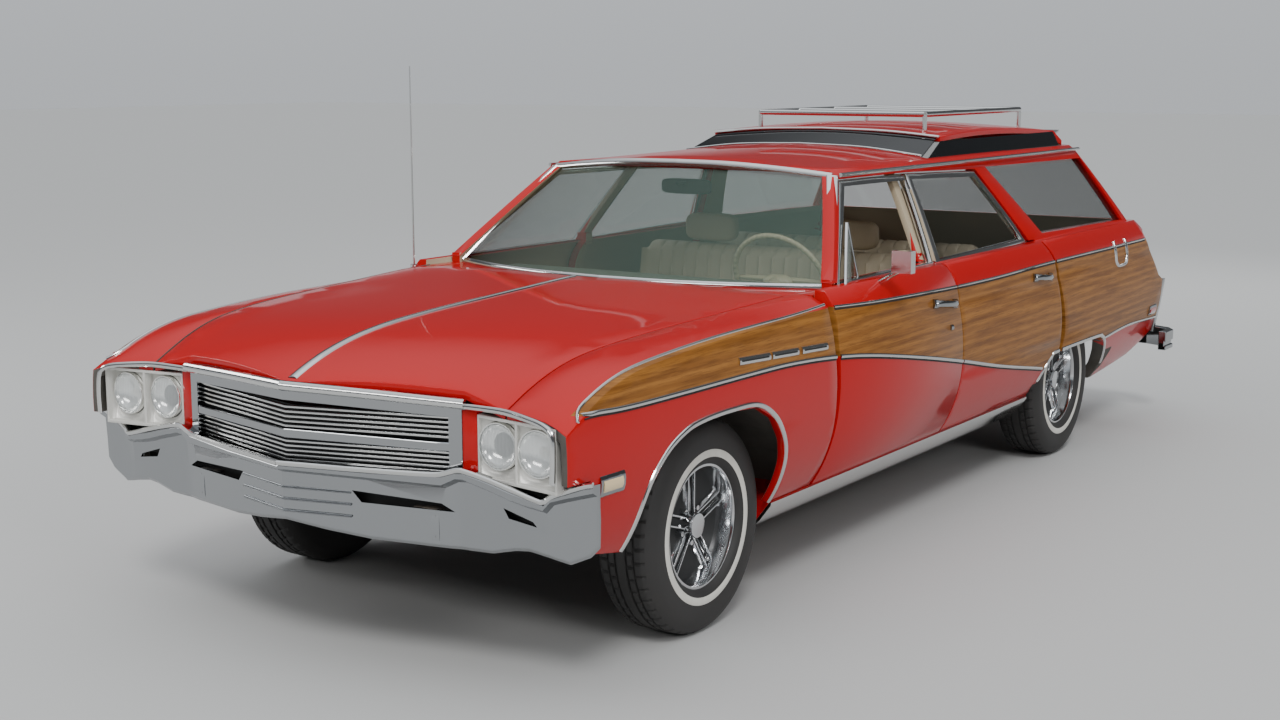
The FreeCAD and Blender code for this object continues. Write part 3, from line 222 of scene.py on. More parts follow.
chassis_black, at = finish("chassis_black", (0.030, 0.030, 0.031), 0.55)
dust = at.noise(9.0, 6.0)
specks = at.noise(70.0, 4.0)
rusty = (dust * specks).between(0.18, 0.42)
rusty.mix((0.026, 0.026, 0.027), (0.13, 0.105, 0.08)).feed("Base Color")
(0.45 + 0.4 * dust).feed("Roughness")
at.bump(specks, 0.15)
dress(chassis_black, "chassis_frame", "rear_axle", "knuckle_left", "knuckle_right", "front_suspension",
      "driveshaft", "fuel_tank")


# Engine with its gearbox, in dull cast iron, and the exhaust: a steel pipe over the axle to
# the tail, brown with rust.
cast_iron, at = finish("cast_iron", (0.05, 0.05, 0.055), 0.6, 0.6)
casting = at.noise(120.0, 3.0)
casting.mix((0.035, 0.035, 0.038), (0.085, 0.083, 0.08)).feed("Base Color")
at.bump(casting, 0.5, 0.002)
dress(cast_iron, "engine")
rusty_steel, at = finish("rusty_steel", (0.20, 0.10, 0.06), 0.75, 0.3)
rust = at.noise(22.0, 8.0, 0.7)
rust.between(0.35, 0.65).mix((0.10, 0.055, 0.035), (0.34, 0.20, 0.13)).feed("Base Color")
at.bump(rust, 0.4, 0.002)
dress(rusty_steel, "exhaust")


# Painted shell: pressed steel in bright red enamel with a clear top coat, rounded at its folds.
# Wood-grain film is stuck on the outer skin between the two side mouldings, the cabin side
# carries tan trim, and the wheel side is grey with road dust.
FRONT_AXLE = 1.738  # metres ahead of the middle of the car's length
# The film's upper and lower edge: millimetres back from the front axle, and height.
FILM_TOP = ((-873, 825), (-830, 850), (-769, 880), (-676, 909), (-535, 937), (-363, 950), (-160, 955),
            (191, 953), (676, 951), (1020, 935), (1653, 919), (2091, 915), (2698, 919), (3956, 913),
            (4200, 911))
FILM_FOOT = ((-873, 823), (-714, 827), (-523, 820), (140, 816), (394, 809), (660, 790), (922, 759),
             (1285, 702), (1672, 633), (2078, 555), (2615, 465), (2700, 440), (3300, 440), (3377, 499),
             (3715, 519), (4129, 503), (4210, 505))
FILM_SIDE = 0.900  # the film lies further out than this
FILM_NOSE = -2.611
RAMP_TOP = 1200  # the height in millimetres that a ramp's 1 stands for
PAINTED = {  # panel, rounding of its edges
    "hood": 0.002, "fender_left": 0.002, "fender_right": 0.002, "front_door_left": 0.0015,
    "front_door_right": 0.0015, "rear_door_left": 0.0015, "rear_door_right": 0.0015,
    "body_side_left": 0.0015, "body_side_right": 0.0015, "roof": 0.003, "cowl": 0.001, "tailgate": 0.003,
    "filler_panels": 0.002,
}
WITH_FILM = ("fender", "front_door", "rear_door", "body_side")
CENTRE_POST = ((-0.11, 0.06), (1.02, 1.34))  # range along the car, range of height
WHEELHOUSE = ((0.86, 1.84), (0.0, 0.62))
WHEELHOUSE_SIDE = 0.895
SILL_TOP = 0.6
TAIL_PANEL = 2.2
SHARP = 35  # degrees; a flatter edge is part of a curved face
members_of = frame["record"]["behaviour"]["bodies"]
body_of_node = {node: body for body, members in members_of.items() for node in members}


def place(across, back, height):
    """Point given in millimetres, measured back from the front axle, in the object's frame."""
    return Vector((across, back - 1000 * FRONT_AXLE, height)) / 1000


def made(bm, name, looks, body, slot, *replaced, crease=SHARP):
    """The finished piece: a mesh with smooth shading between its sharp edges, on its body."""
    mesh = bpy.data.meshes.new(name)
    bm.to_mesh(mesh)
    bm.free()
    mesh.shade_smooth()
    mesh.set_sharp_from_angle(angle=math.radians(crease))
    for look in looks if isinstance(looks, tuple) else (looks,):
        mesh.materials.append(look)
    piece = bpy.data.objects.new(name, mesh)
    bpy.context.scene.collection.objects.link(piece)
    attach(piece, body)
    if replaced:
        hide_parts(*replaced)
    return piece


def skin_of(name, rounding=0.0):
    """Merged copy of a CAD node's surface, its sharp outer edges rounded."""
    bm = bmesh.new()
    bm.from_mesh(frame["nodes"][name].data)
    bmesh.ops.remove_doubles(bm, verts=bm.verts, dist=2e-5)
    if rounding:
        sharp = [edge for edge in bm.edges if edge.is_manifold and edge.is_convex
                 and edge.calc_face_angle() > math.radians(SHARP)]
        bmesh.ops.bevel(bm, geom=sharp, offset=rounding, segments=2, profile=0.5, affect="EDGES",
                        clamp_overlap=True, material=-1)
    return bm


def level(along, line):
    """Height of a line drawn along the car, given as (back, height), at each place."""
    first, last = line[0][0], line[-1][0]
    share = (along + (FRONT_AXLE - first / 1000)) * (1000 / (last - first))
    stops = [((back - first) / (last - first), height / RAMP_TOP) for back, height in line]
    return share.make("ValToRGB", settings={"stops": stops}, Fac=share) * (RAMP_TOP / 1000)


def enamel(name, film):
    """Red enamel; with film, it carries wood grain between the film's two edges."""
    look, at = finish(name, (0.46, 0.003, 0.004), 0.34, Specular_IOR_Level=0.05, Coat_Weight=0.55,
                      Coat_Roughness=0.03)
    red = at.noise(1.3, 2.0).mix((0.44, 0.002, 0.003), (0.49, 0.005, 0.006))
    haze = at.noise(240.0, 2.0)
    if not film:
        red.feed("Base Color")
        at.bump(haze, 0.02, 0.0004)
        return look
    across, along, height = [at.make("SeparateXYZ", out=axis, Vector=at) for axis in range(3)]
    mask = (height < level(along, FILM_TOP)) * (height > level(along, FILM_FOOT))
    mask = mask * (across.worked("ABSOLUTE", across) > FILM_SIDE) * (along > FILM_NOSE)
    wander = at.noise(1.1, 3.0, 0.6, stretch=(0.4, 1.0, 1.0))
    board = at.make("CombineXYZ", X=across, Y=along * 0.06, Z=height + wander * 0.05)
    figure = board.make("TexWave", settings={"wave_type": "BANDS", "bands_direction": "Z"}, Vector=board,
                        Scale=9.0, Distortion=4.0, Detail=3.0, Detail_Scale=1.6, Detail_Roughness=0.6)
    fibre = at.noise(1.0, 5.0, 0.7, stretch=(8, 9, 260))
    streak = at.noise(1.0, 3.0, 0.6, stretch=(3, 2.2, 46))
    tone = figure.mix((0.25, 0.098, 0.019), (0.35, 0.148, 0.032))
    tone = streak.between(0.46, 0.74).mix(tone, (0.16, 0.058, 0.012))
    tone = fibre.between(0.48, 0.80).mix(tone, (0.10, 0.034, 0.008))
    mask.mix(red, tone).feed("Base Color")
    (0.30 + mask * 0.06).feed("Roughness")
    (0.55 - mask * 0.35).feed("Coat Weight")
    at.bump(haze * 0.3 + fibre * mask, 0.05, 0.0006)
    return look


def within(spot, box):
    """Whether a spot lies in a box of (range along the car, range of height)."""
    (first, last), (lowest, highest) = box
    return first < spot.y < last and lowest < spot.z < highest


def lined(skin, name):
    """Marks the faces that turn towards the cabin, with trim, and towards a wheel, with dust."""
    sign = -1 if name.endswith("right") else 1
    for face in skin.faces:
        spot = face.calc_center_median()
        inward = -face.normal.x * sign
        trimmed = dusty = False
        if name == "roof":
            trimmed = face.normal.z < -0.5
        elif name == "tailgate":
            trimmed = face.normal.y < -0.3
        elif name.startswith(("front_door", "rear_door")):
            trimmed = inward > 0.4
        elif name.startswith("fender"):
            dusty = inward > 0.2
        elif name.startswith("body_side"):
            trimmed = within(spot, CENTRE_POST) or inward > 0.3 and spot.z > SILL_TOP and spot.y < TAIL_PANEL
            dusty = within(spot, WHEELHOUSE) and abs(spot.x) < WHEELHOUSE_SIDE
        face.material_index = 2 if dusty else int(trimmed)
    return skin


dusty_steel, at = finish("dusty_steel", (0.07, 0.065, 0.058), 0.85)
at.noise(7.0, 6.0, 0.7).mix((0.035, 0.032, 0.030), (0.15, 0.135, 0.115)).feed("Base Color")
red_enamel = enamel("red_enamel", False)
red_enamel_with_film = enamel("red_enamel_with_film", True)
tan_trim, at = finish("tan_trim", (0.42, 0.34, 0.23), 0.6)
at.bump(at.noise(300.0, 2.0), 0.2, 0.0006)
for name, rounding in PAINTED.items():
    outer = red_enamel_with_film if name.startswith(WITH_FILM) else red_enamel
    skin = lined(skin_of(name, rounding), name)
    made(skin, name + "_skin", (outer, tan_trim, dusty_steel), body_of_node[name], "red_paint", name)


# Side mouldings: bright rolled strips clipped over both edges of the film, cut at every door
# seam. A thin black line of painted shadow runs below the upper one, and below the lower one up to the rear
# wheel.
SIDES = (("left", 1), ("right", -1))
BESIDE = 1.3  # metres from the car's middle, clear of its side
OUTER_SKIN = 0.84  # the outer skin lies further out than this
OVERHEAD = 1400  # millimetres, clear of hood and fenders
SEAM = 0.05  # a longer step between neighbouring points is a seam or an opening
LINE_POINTS = 700
FEWEST = 6  # a shorter run of points makes no strip
KEPT_EACH = 6
ROUND_STEPS = 10
bright_steel, at = finish("bright_steel", (0.66, 0.66, 0.65), 0.10, 1.0)
(0.06 + 0.12 * at.noise(14.0, 5.0)).feed("Roughness")
at.bump(at.noise(6.0, 2.0), 0.06, 0.002)
# Black, for rubber and dark trim, and also for painted shade: the lines under the mouldings and the strips
# behind the bumper's slots.
black_rubber_and_painted_shade, at = finish("black_rubber_and_painted_shade", (0.010, 0.010, 0.010), 0.6)


def tree_of(node):
    """Search tree of a CAD node's surface, for finding where a ray meets it."""
    mesh = frame["nodes"][node].data
    return BVHTree.FromPolygons([v.co for v in mesh.vertices], [p.vertices for p in mesh.polygons])


def curve_through(points, count):
    """Evenly spread points on a smooth curve through the given ones."""
    padded = [2 * points[0] - points[1]] + list(points) + [2 * points[-1] - points[-2]]
    fine = 16
    dense = []
    for a, b, c, d in zip(padded, padded[1:], padded[2:], padded[3:]):
        for k in range(fine):
            u = k / fine
            dense.append(0.5 * (2 * b + (c - a) * u + (2 * a - 5 * b + 4 * c - d) * u ** 2
                                + (3 * b - a - 3 * c + d) * u ** 3))
    dense.append(points[-1].copy())
    reach = [0.0]
    for a, b in zip(dense, dense[1:]):
        reach.append(reach[-1] + (b - a).length)
    spread, k = [], 0
    for i in range(count):
        want = reach[-1] * i / (count - 1)
        while k < len(reach) - 2 and reach[k + 1] < want:
            k += 1
        share = (want - reach[k]) / max(reach[k + 1] - reach[k], 1e-9)
        spread.append(dense[k].lerp(dense[k + 1], min(max(share, 0), 1)))
    return spread


def side_points(line, count):
    """Evenly spread points (y, z) on a curve through stops of (back, height)."""
    stops = [Vector((0, back / 1000 - FRONT_AXLE, height / 1000)) for back, height in line]
    return [(point.y, point.z) for point in curve_through(stops, count)]


def formed(shape, along, around, closed=False):
    """Sheet of quads bent to shape(a, b), with a and b from 0 to 1; closed joins it to a bar."""
    bm = bmesh.new()
    bmesh.ops.create_grid(bm, x_segments=along, y_segments=around, size=0.5)
    for vert in bm.verts:
        vert.co = shape(vert.co.x + 0.5, vert.co.y + 0.5)
    if closed:
        bmesh.ops.remove_doubles(bm, verts=bm.verts, dist=1e-6)
        bmesh.ops.holes_fill(bm, edges=[e for e in bm.edges if e.is_boundary], sides=0)
    bmesh.ops.recalc_face_normals(bm, faces=bm.faces)
    return bm


def strip(path, outward, width, height):
    """Half-round strip along a path; outward gives the face's direction at each point."""
    count = len(path) - 1

    def shape(a, b):
        i = min(round(a * count), count)
        ahead = (path[min(i + 1, count)] - path[max(i - 1, 0)]).normalized()
        across = ahead.cross(outward[i]).normalized()
        turn = 2 * math.pi * b
        rise = max(math.sin(turn), -0.25)
        return path[i] + across * (width / 2 * math.cos(turn)) + outward[i] * (height * rise)
    return formed(shape, count, ROUND_STEPS, closed=True)


def hits(name, side, points):
    """Places and directions where the points, seen from the side, meet a panel's outer skin."""
    sign = dict(SIDES)[side]
    found = []
    for y, z in points:
        ray_from = Vector((sign * BESIDE, y, z))
        spot, normal, _, _ = skins[name, side].ray_cast(ray_from, Vector((-sign, 0, 0)), 0.5)
        if spot is not None and abs(spot.x) > OUTER_SKIN:
            found.append((spot, normal if normal.x * sign > 0 else -normal))
    return found


def evenly(start, end, count):
    return [start + (end - start) * i / (count - 1) for i in range(count)]


def dropped(tree, points):
    """Places and directions where the points (across, back), seen from above, meet a skin."""
    path, outward = [], []
    for across, back in points:
        spot, normal, _, _ = tree.ray_cast(place(across, back, OVERHEAD), Vector((0, 0, -1)), 1.0)
        if spot is not None:
            path.append(spot)
            outward.append(normal if normal.z > 0 else -normal)
    return path, outward


def moulding(title, line, width, height, look, names=WITH_FILM):
    """Strips along a line of (back, height) on both sides, cut at the seams between panels."""
    points = side_points(line, LINE_POINTS)
    for side, _ in SIDES:
        for name in names:
            found = hits(name, side, points)
            if len(found) < FEWEST:
                continue
            runs = [[found[0]]]
            for a, b in zip(found, found[1:]):
                if (b[0] - a[0]).length > SEAM:
                    runs.append([])
                runs[-1].append(b)
            for number, run in enumerate(run for run in runs if len(run) >= FEWEST):
                thin = run[::KEPT_EACH] + ([run[-1]] if (len(run) - 1) % KEPT_EACH else [])
                bm = strip([spot for spot, _ in thin], [out for _, out in thin], width, height)
                made(bm, "%s_%s_%s_%d" % (title, name, side, number), look,
                     body_of_node[name + "_" + side], "bright_chrome")


skins = {(name, side): tree_of(name + "_" + side) for name in WITH_FILM for side, _ in SIDES}
DOOR_TOP = [(640, 951)] + [stop for stop in FILM_TOP if stop[0] > 640]
DOOR_FOOT = [(-772, 827)] + list(FILM_FOOT[1:11])
TAIL_FOOT = FILM_FOOT[13:]
moulding("film_top_strip", DOOR_TOP, 0.011, 0.006, bright_steel)
# a thin black strip under the upper moulding: painted shadow
moulding("film_top_line", [(back, z - 8) for back, z in DOOR_TOP], 0.005, 0.003, black_rubber_and_painted_shade)
moulding("film_foot_strip", DOOR_FOOT, 0.015, 0.006, bright_steel)
# a thin black strip under the lower moulding: painted shadow
moulding("film_foot_line", [(back, z - 10) for back, z in DOOR_FOOT], 0.005, 0.003, black_rubber_and_painted_shade)
moulding("film_tail_strip", TAIL_FOOT, 0.015, 0.006, bright_steel)
FILM_EDGE = 0.903  # metres from the middle to the strip along each fender's shoulder
NOSE_POINTS = 90
NOSE_START, NOSE_END = -800, 636
NOSE_BEND = -740  # ahead of this the strip runs outwards
for side, sign in SIDES:
    run = [(1000 * sign * (FILM_EDGE + 0.030 * max(0, (NOSE_BEND - back) / 60) ** 2), back)
           for back in evenly(NOSE_START, NOSE_END, NOSE_POINTS)]
    path, outward = dropped(skins["fender", side], run)
    made(strip(path, outward, 0.011, 0.006), "film_nose_strip_" + side, bright_steel, "body",
         "bright_chrome")


# Glass: pale green, a little darker where it is seen at a slant, and the smoked panes of
# the raised roof.
def glazing(name, tint, mirror, veil, slant):
    """Glass that hides a share, veil, of what lies behind it, and up to slant more at a slant."""
    look, at = finish(name, tint, 0.02, mirror)
    edge_on = at.make("LayerWeight", out=1, Blend=0.5)
    (veil + slant * edge_on * edge_on * edge_on * edge_on).feed("Alpha")
    look.surface_render_method = "BLENDED"
    return look


clear_glass = glazing("clear_glass", (0.12, 0.18, 0.15), 1.0, 0.22, 0.65)
smoked_glass = glazing("smoked_glass", (0.004, 0.005, 0.006), 0.0, 0.97, 0.03)
dress(clear_glass, "windshield", "tailgate_glass", "quarter_glass", "vent_window",
      "front_door_glass_right", "rear_door_glass_left", "rear_door_glass_right")
dress(smoked_glass, "skylights")


# Bumpers and grille frame: heavy chromed plate, slightly wavy from pressing. The rack, the
# antenna, the mirror, the grille bars and the window frames are bright rolled steel.
PLATES = (("bumper_front", 0.0), ("bumper_rear", 0.004), ("grille", 0.004), ("rack", 0.0),
          ("antenna", 0.0), ("door_mirror", 0.004))  # node, rounding of its edges
chrome, at = finish("chrome", (0.36, 0.37, 0.38), 0.04, 1.0)
(0.03 + 0.06 * at.noise(9.0, 5.0)).feed("Roughness")
at.bump(at.noise(3.5, 2.0), 0.05, 0.004)
for name, rounding in PLATES:
    plate = skin_of(name, rounding)
    if name == "bumper_front":  # its slivers would show in the mirror finish
        bmesh.ops.dissolve_degenerate(plate, dist=2e-4, edges=plate.edges)
    look = bright_steel if name in ("door_mirror", "rack", "antenna") else chrome
    made(plate, name + "_plate", look, body_of_node[name], "bright_chrome", name, crease=6)
made(skin_of("grille_bars", 0.001), "grille_bars_bright", bright_steel, "body", "bright_chrome",
     "grille_bars")
for name, body in body_of_node.items():
    if "_door_frame_" in name:
        made(skin_of(name, 0.002), name + "_bright", bright_steel, body, "bright_chrome", name)


# Radiator support behind the grille, in black paint, and the inner fenders and the floor:
# pressed steel, grey with road dust.
black_paint, at = finish("black_paint", (0.012, 0.012, 0.012), 0.6)
dress(black_paint, "radiator_support")
dress(dusty_steel, "inner_fenders", "floor")


# Bright rolled edges of the wheel openings, and the deep moulding that is clipped along each
# rocker from wheel to wheel.
FRONT_LIP = ((-527, 392), (-485, 563), (-405, 656), (-302, 705), (-200, 722), (-40, 726), (113, 716),
             (225, 661), (297, 579), (333, 502), (353, 400), (362, 345))  # back, height
REAR_LIP = ((2634, 402), (2659, 464), (2697, 504), (2759, 523), (3262, 523), (3343, 512), (3404, 484),
            (3455, 437), (3530, 358))
ROCKER_FACE = ((768, 250), (786, 248), (806, 266), (848, 322), (850, 332), (836, 336), (800, 280),
               (776, 258))  # across, height
ROCKER_START, ROCKER_END = 392, 2628
moulding("front_lip", FRONT_LIP, 0.018, 0.006, bright_steel, ("fender",))
moulding("rear_lip", REAR_LIP, 0.018, 0.006, bright_steel, ("rear_door", "body_side"))


def bar_along(section, start, end, sign=1):
    """Bar with a cross section of (across, height) in millimetres, from start to end."""
    count = len(section)

    def shape(a, b):
        across, height = section[round(b * count) % count]
        return place(sign * across, start + (end - start) * a, height)
    return formed(shape, 2, count, closed=True)


for side, sign in SIDES:
    made(bar_along(ROCKER_FACE, ROCKER_START, ROCKER_END, sign), "rocker_moulding_" + side, bright_steel,
         "body", "bright_chrome")


# Small trim of the sides: three port trims with dark middles on each fender, die-cast door
# handles and locks, the pull round the fuel door, and the marker lamps in their bezels.
PORTS = ((22, 208), (221, 388), (412, 584))  # back to each one's two ends
RIM = 12  # from the ends of a port trim or a bezel to what lies in it
HANDLES = (("front_door", 1440, 1625, 876, 858), ("rear_door", 2440, 2622, 873, 860))
FUEL_DOOR = ((3468, 938), (3470, 860), (3490, 828), (3548, 822), (3606, 828), (3628, 860), (3630, 938))
amber_lens, at = finish("amber_lens", (0.78, 0.60, 0.34), 0.15, Coat_Weight=1.0)
at.bump(at.make("TexWave", Vector=at, Scale=40.0), 0.3, 0.001)
ruby_lens, at = finish("ruby_lens", (0.42, 0.008, 0.010), 0.12, Coat_Weight=1.0)
at.bump(at.make("TexWave", Vector=at, Scale=40.0), 0.3, 0.001)
MARKERS = (("front_marker", "fender", -718, -608, 622, 0.060, 0.040, amber_lens),
           ("rear_marker", "body_side", 4026, 4136, 548, 0.052, 0.034, ruby_lens))


def trim(title, panel, line, width, height, look, slot="bright_chrome", lift=0.0, count=24):
    """Strip on a panel's skin along a line of (back, height), its middle lifted off the skin."""
    for side, _ in SIDES:
        found = hits(panel, side, side_points(line, count))
        last = len(found) - 1
        if last < 3:
            continue
        spots = [spot + out * lift * math.sin(math.pi * i / last) ** 0.4
                 for i, (spot, out) in enumerate(found)]
        made(strip(spots, [out for _, out in found], width, height), title + "_" + side, look,
             body_of_node[panel + "_" + side], slot)


def port_line(start, end):
    """The row of ports falls by 27 mm over its 567 mm."""
    return [(back, 861 - 27 * (back - 19) / 567) for back in (start, end)]


for number, (start, end) in enumerate(PORTS):
    trim("port_%d" % number, "fender", port_line(start, end), 0.026, 0.006, bright_steel)
    trim("port_dark_%d" % number, "fender", port_line(start + RIM, end - RIM), 0.012, 0.0072, black_paint)
for door, start, end, high, low in HANDLES:
    foot = ((end - 26, low + 2), (end + 14, low - 2))
    head = ((start - 14, high + 2), (start + 26, high - 2))
    trim(door + "_handle", door, ((start, high), (end, low)), 0.026, 0.010, chrome, lift=0.022)
    trim(door + "_handle_foot", door, foot, 0.036, 0.009, chrome, count=8)
    trim(door + "_handle_head", door, head, 0.036, 0.009, chrome, count=8)
trim("lock", "front_door", ((1560, 775), (1582, 774)), 0.022, 0.006, chrome, count=6)
trim("fuel_door_pull", "body_side", FUEL_DOOR, 0.016, 0.009, bright_steel, count=60)
for title, panel, start, end, z, wide, lens_wide, lens in MARKERS:
    trim(title + "_bezel", panel, ((start, z), (end, z)), wide, 0.008, chrome)
    trim(title, panel, ((start + RIM, z), (end - RIM, z)), lens_wide, 0.011, lens, "red_lens")


# Front trim: bright strips over the lamps and the grille, the bumper's rolled upper lip and
# its plate recess with three steps, a plate over each rail's end, and black strips behind the slots as
# painted shade.
def line_of(title, stops, outward, width, height, look, body="body", count=40, both=True):
    """Strip through stops of (across, back, height), and its mirror image on the other side."""
    for side, sign in SIDES if both else (("middle", 1),):
        path = curve_through([place(sign * x, back, z) for x, back, z in stops], count)
        out = Vector((sign * outward[0], outward[1], outward[2])).normalized()
        made(strip(path, [out] * len(path), width, height), title + "_" + side, look, body,
             "bright_chrome")


BROW = ((538, -806, 816), (600, -808, 818), (700, -816, 819), (790, -836, 813), (860, -852, 803),
        (892, -860, 782), (898, -864, 720), (896, -864, 650))
GRILLE_BROW = ((0, -951, 843), (25, -945, 842), (270, -880, 834), (556, -806, 823))
BUMPER_LIP = ((0, -976, 621), (131, -943, 621), (267, -909, 621), (470, -857, 624), (520, -846, 633),
              (548, -840, 642), (575, -838, 643), (644, -830, 629), (720, -824, 610), (800, -817, 589),
              (828, -814, 585), (850, -810, 602), (890, -804, 619), (952, -797, 642), (978, -794, 648))
RAIL_END = ((454, -840.8, 473), (480, -834.6, 473))
PLATE_STEPS = (548, 513, 478)
# Black strips behind the bumper's slots: painted shade in the openings.
SLOT_BACKS = (("inner", (190, -862, 530), (580, -770, 530)), ("outer", (660, -760, 528), (820, -735, 515)))
line_of("brow", BROW, (0.15, -1, 0.35), 0.018, 0.008, bright_steel)
line_of("grille_brow", GRILLE_BROW, (0, -1, 0.3), 0.030, 0.012, bright_steel)
line_of("bumper_lip", BUMPER_LIP, (0, -0.7, 0.7), 0.016, 0.009, bright_steel, count=90)
line_of("rail_end_cover", RAIL_END, (0.24, -0.97, 0), 0.086, 0.0022, chrome, count=6)
for step in PLATE_STEPS:
    line_of("plate_step_%d" % step, ((0, -959, step), (215, -905, step)), (0, -1, 0.2), 0.007, 0.004, chrome)
for title, *stops in SLOT_BACKS:
    line_of("slot_shadow_" + title, stops, (0, -1, 0), 0.130, 0.004, black_rubber_and_painted_shade)


# Windshield's bright surround, the drip rails over the doors, and the strip down the hood's
# crease: a ridge 34 mm wide at the nose that narrows to 12 mm at the cowl.
SHIELD_FOOT = ((0, 636, 992), (300, 664, 992), (560, 737, 992), (800, 846, 992))
SHIELD_SIDE = ((808, 846, 992), (760, 946, 1090), (716, 1042, 1180), (622, 1222, 1346))
SHIELD_HEAD = ((0, 1152, 1383), (220, 1160, 1380), (430, 1186, 1366), (622, 1222, 1346))
DRIP_RAIL = ((652, 1226, 1350), (656, 1700, 1351), (660, 2300, 1351), (656, 3000, 1350), (645, 3716, 1349))
HOOD_STRIP_START, HOOD_STRIP_END = -905, 485
line_of("windshield_foot", SHIELD_FOOT, (0, -1, 0.4), 0.022, 0.008, bright_steel)
line_of("windshield_side", SHIELD_SIDE, (0.62, -1, 0.5), 0.046, 0.012, bright_steel)
line_of("windshield_head", SHIELD_HEAD, (0, -1, 0.8), 0.026, 0.008, bright_steel)
line_of("drip_rail", DRIP_RAIL, (1, 0, 0.2), 0.016, 0.010, bright_steel, count=60)
ridge, _ = dropped(tree_of("hood"), [(0, back) for back in evenly(HOOD_STRIP_START, HOOD_STRIP_END, 60)])


def narrowing(a, b):
    i = round(a * (len(ridge) - 1))
    half_width = 0.017 - 0.011 * a
    turn = 2 * math.pi * b
    return ridge[i] + Vector((half_width * math.cos(turn), 0, 0.007 * max(math.sin(turn), -0.3)))


made(formed(narrowing, len(ridge) - 1, ROUND_STEPS, closed=True), "hood_strip", bright_steel, "hood",
     "bright_chrome")


# Air intake slots, punched in a row across the steel cowl, 32 mm ahead of the windshield's
# foot, whose curve they follow. Black paint shows in them.
SLOT_COUNT = 41
SLOT_PITCH = 34
SLOT_WIDTH, SLOT_LENGTH, SLOT_RISE = 20, 34, 1.6
COWL_TOP = 984.2
slots = bmesh.new()
for i in range(SLOT_COUNT):
    across = (i - SLOT_COUNT // 2) * SLOT_PITCH
    back = 612 + 0.28 * abs(across) + 0.00006 * across ** 2 - 32
    for vert in bmesh.ops.create_cube(slots, size=1.0)["verts"]:
        vert.co = place(across + vert.co.x * SLOT_WIDTH, back + vert.co.y * SLOT_LENGTH,
                        COWL_TOP + vert.co.z * SLOT_RISE)
made(slots, "cowl_slots", black_paint, "body", "black_steel")


# Head lamps: a sealed glass with fine vertical flutes before a bright bowl, in a chrome ring,
# two on each side in a bezel painted silver grey.
LAMPS = ((664, -794.3, 716), (814, -814.3, 716))  # across, back, height
BOWL = ((12, 67), (-3, 67.5), (-7, 66), (-7, 63.5), (0, 62.5), (12, 54), (22, 36), (27, 14), (27, 0))
GLASS_RADIUS = 62.5
GLASS_RISE = 9
GLASS_STEPS = 8
silver_bowl, at = finish("silver_bowl", (0.92, 0.92, 0.90), 0.16, 1.0)
lamp_glass, at = finish("lamp_glass", (0.75, 0.78, 0.78), 0.05, Coat_Weight=1.0)
(0.34 + 0.3 * at.make("LayerWeight", out=1, Blend=0.5)).feed("Alpha")
at.bump(at.make("TexWave", Vector=at, Scale=26.0), 0.6, 0.0015)
lamp_glass.surface_render_method = "BLENDED"
argent, at = finish("argent", (0.66, 0.65, 0.61), 0.32, 0.25)
(0.28 + 0.15 * at.noise(30.0, 4.0)).feed("Roughness")
made(skin_of("lamp_bezels", 0.004), "lamp_bezels_skin", argent, "body", "silver_paint", "lamp_bezels")


def spun(profile, centre):
    """Outline of (distance rearwards, radius) in millimetres, spun about a line along the car."""
    bm = bmesh.new()
    verts = [bm.verts.new(centre + Vector((0, along, radius)) / 1000) for along, radius in profile]
    edges = [bm.edges.new(pair) for pair in zip(verts, verts[1:])]
    bmesh.ops.spin(bm, geom=verts + edges, cent=centre, axis=(0, 1, 0), angle=2 * math.pi, steps=48,
                   use_merge=True)
    bmesh.ops.remove_doubles(bm, verts=bm.verts, dist=1e-6)
    bmesh.ops.recalc_face_normals(bm, faces=bm.faces)
    return bm


def merged(*meshes):
    """One mesh of several."""
    whole = bmesh.new()
    for part in meshes:
        spare = bpy.data.meshes.new("spare")
        part.to_mesh(spare)
        part.free()
        whole.from_mesh(spare)
        bpy.data.meshes.remove(spare)
    return whole


quarter = [math.pi / 2 * k / GLASS_STEPS for k in range(GLASS_STEPS + 1)]
dome = [(-1 - GLASS_RISE * math.cos(turn), GLASS_RADIUS * math.sin(turn)) for turn in quarter]
bowls, glasses = [], []
for across, back, height in LAMPS:
    for sign in (1, -1):
        centre = place(sign * across, back, height)
        bowls.append(spun(BOWL, centre))
        glasses.append(spun(dome + [(2, GLASS_RADIUS + 0.3)], centre))
made(merged(*bowls), "lamp_bowls", silver_bowl, "body", "bright_chrome", "headlamps")
made(merged(*glasses), "lamp_glasses", lamp_glass, "body", "lamp_glass", "headlamps")


# Road wheels: pressed steel, chromed, with five pairs of ribs, black between them, and five
# hexagonal nuts on studs round the hub.
WHEEL_RADIUS = 338
WHEELBASE = 3073
WHEELS = (("front_left", 1, 0), ("front_right", -1, 0), ("rear_left", 1, WHEELBASE),
          ("rear_right", -1, WHEELBASE))  # name, side, back
INNER_FACE = 647  # millimetres from the car's middle to the inner side of rim and tyre
DARK_DEPTH = 116  # the rim's well, up to this far from its inner side, is black
DISC_DEPTH = 122  # so is the flat of the disc between the ribs
DISC_FROM, DISC_TO = 40, 182  # radii
NUT_HEIGHT = 0.022
STUD_CIRCLE = 0.058
rim_chrome, at = finish("rim_chrome", (0.64, 0.65, 0.66), 0.10, 1.0)
(0.07 + 0.10 * at.noise(18.0, 4.0)).feed("Roughness")


def radius_of(spot, hub):
    """Distance in millimetres from the axis of a wheel."""
    return math.hypot(spot.y - hub.y, spot.z - hub.z) * 1000


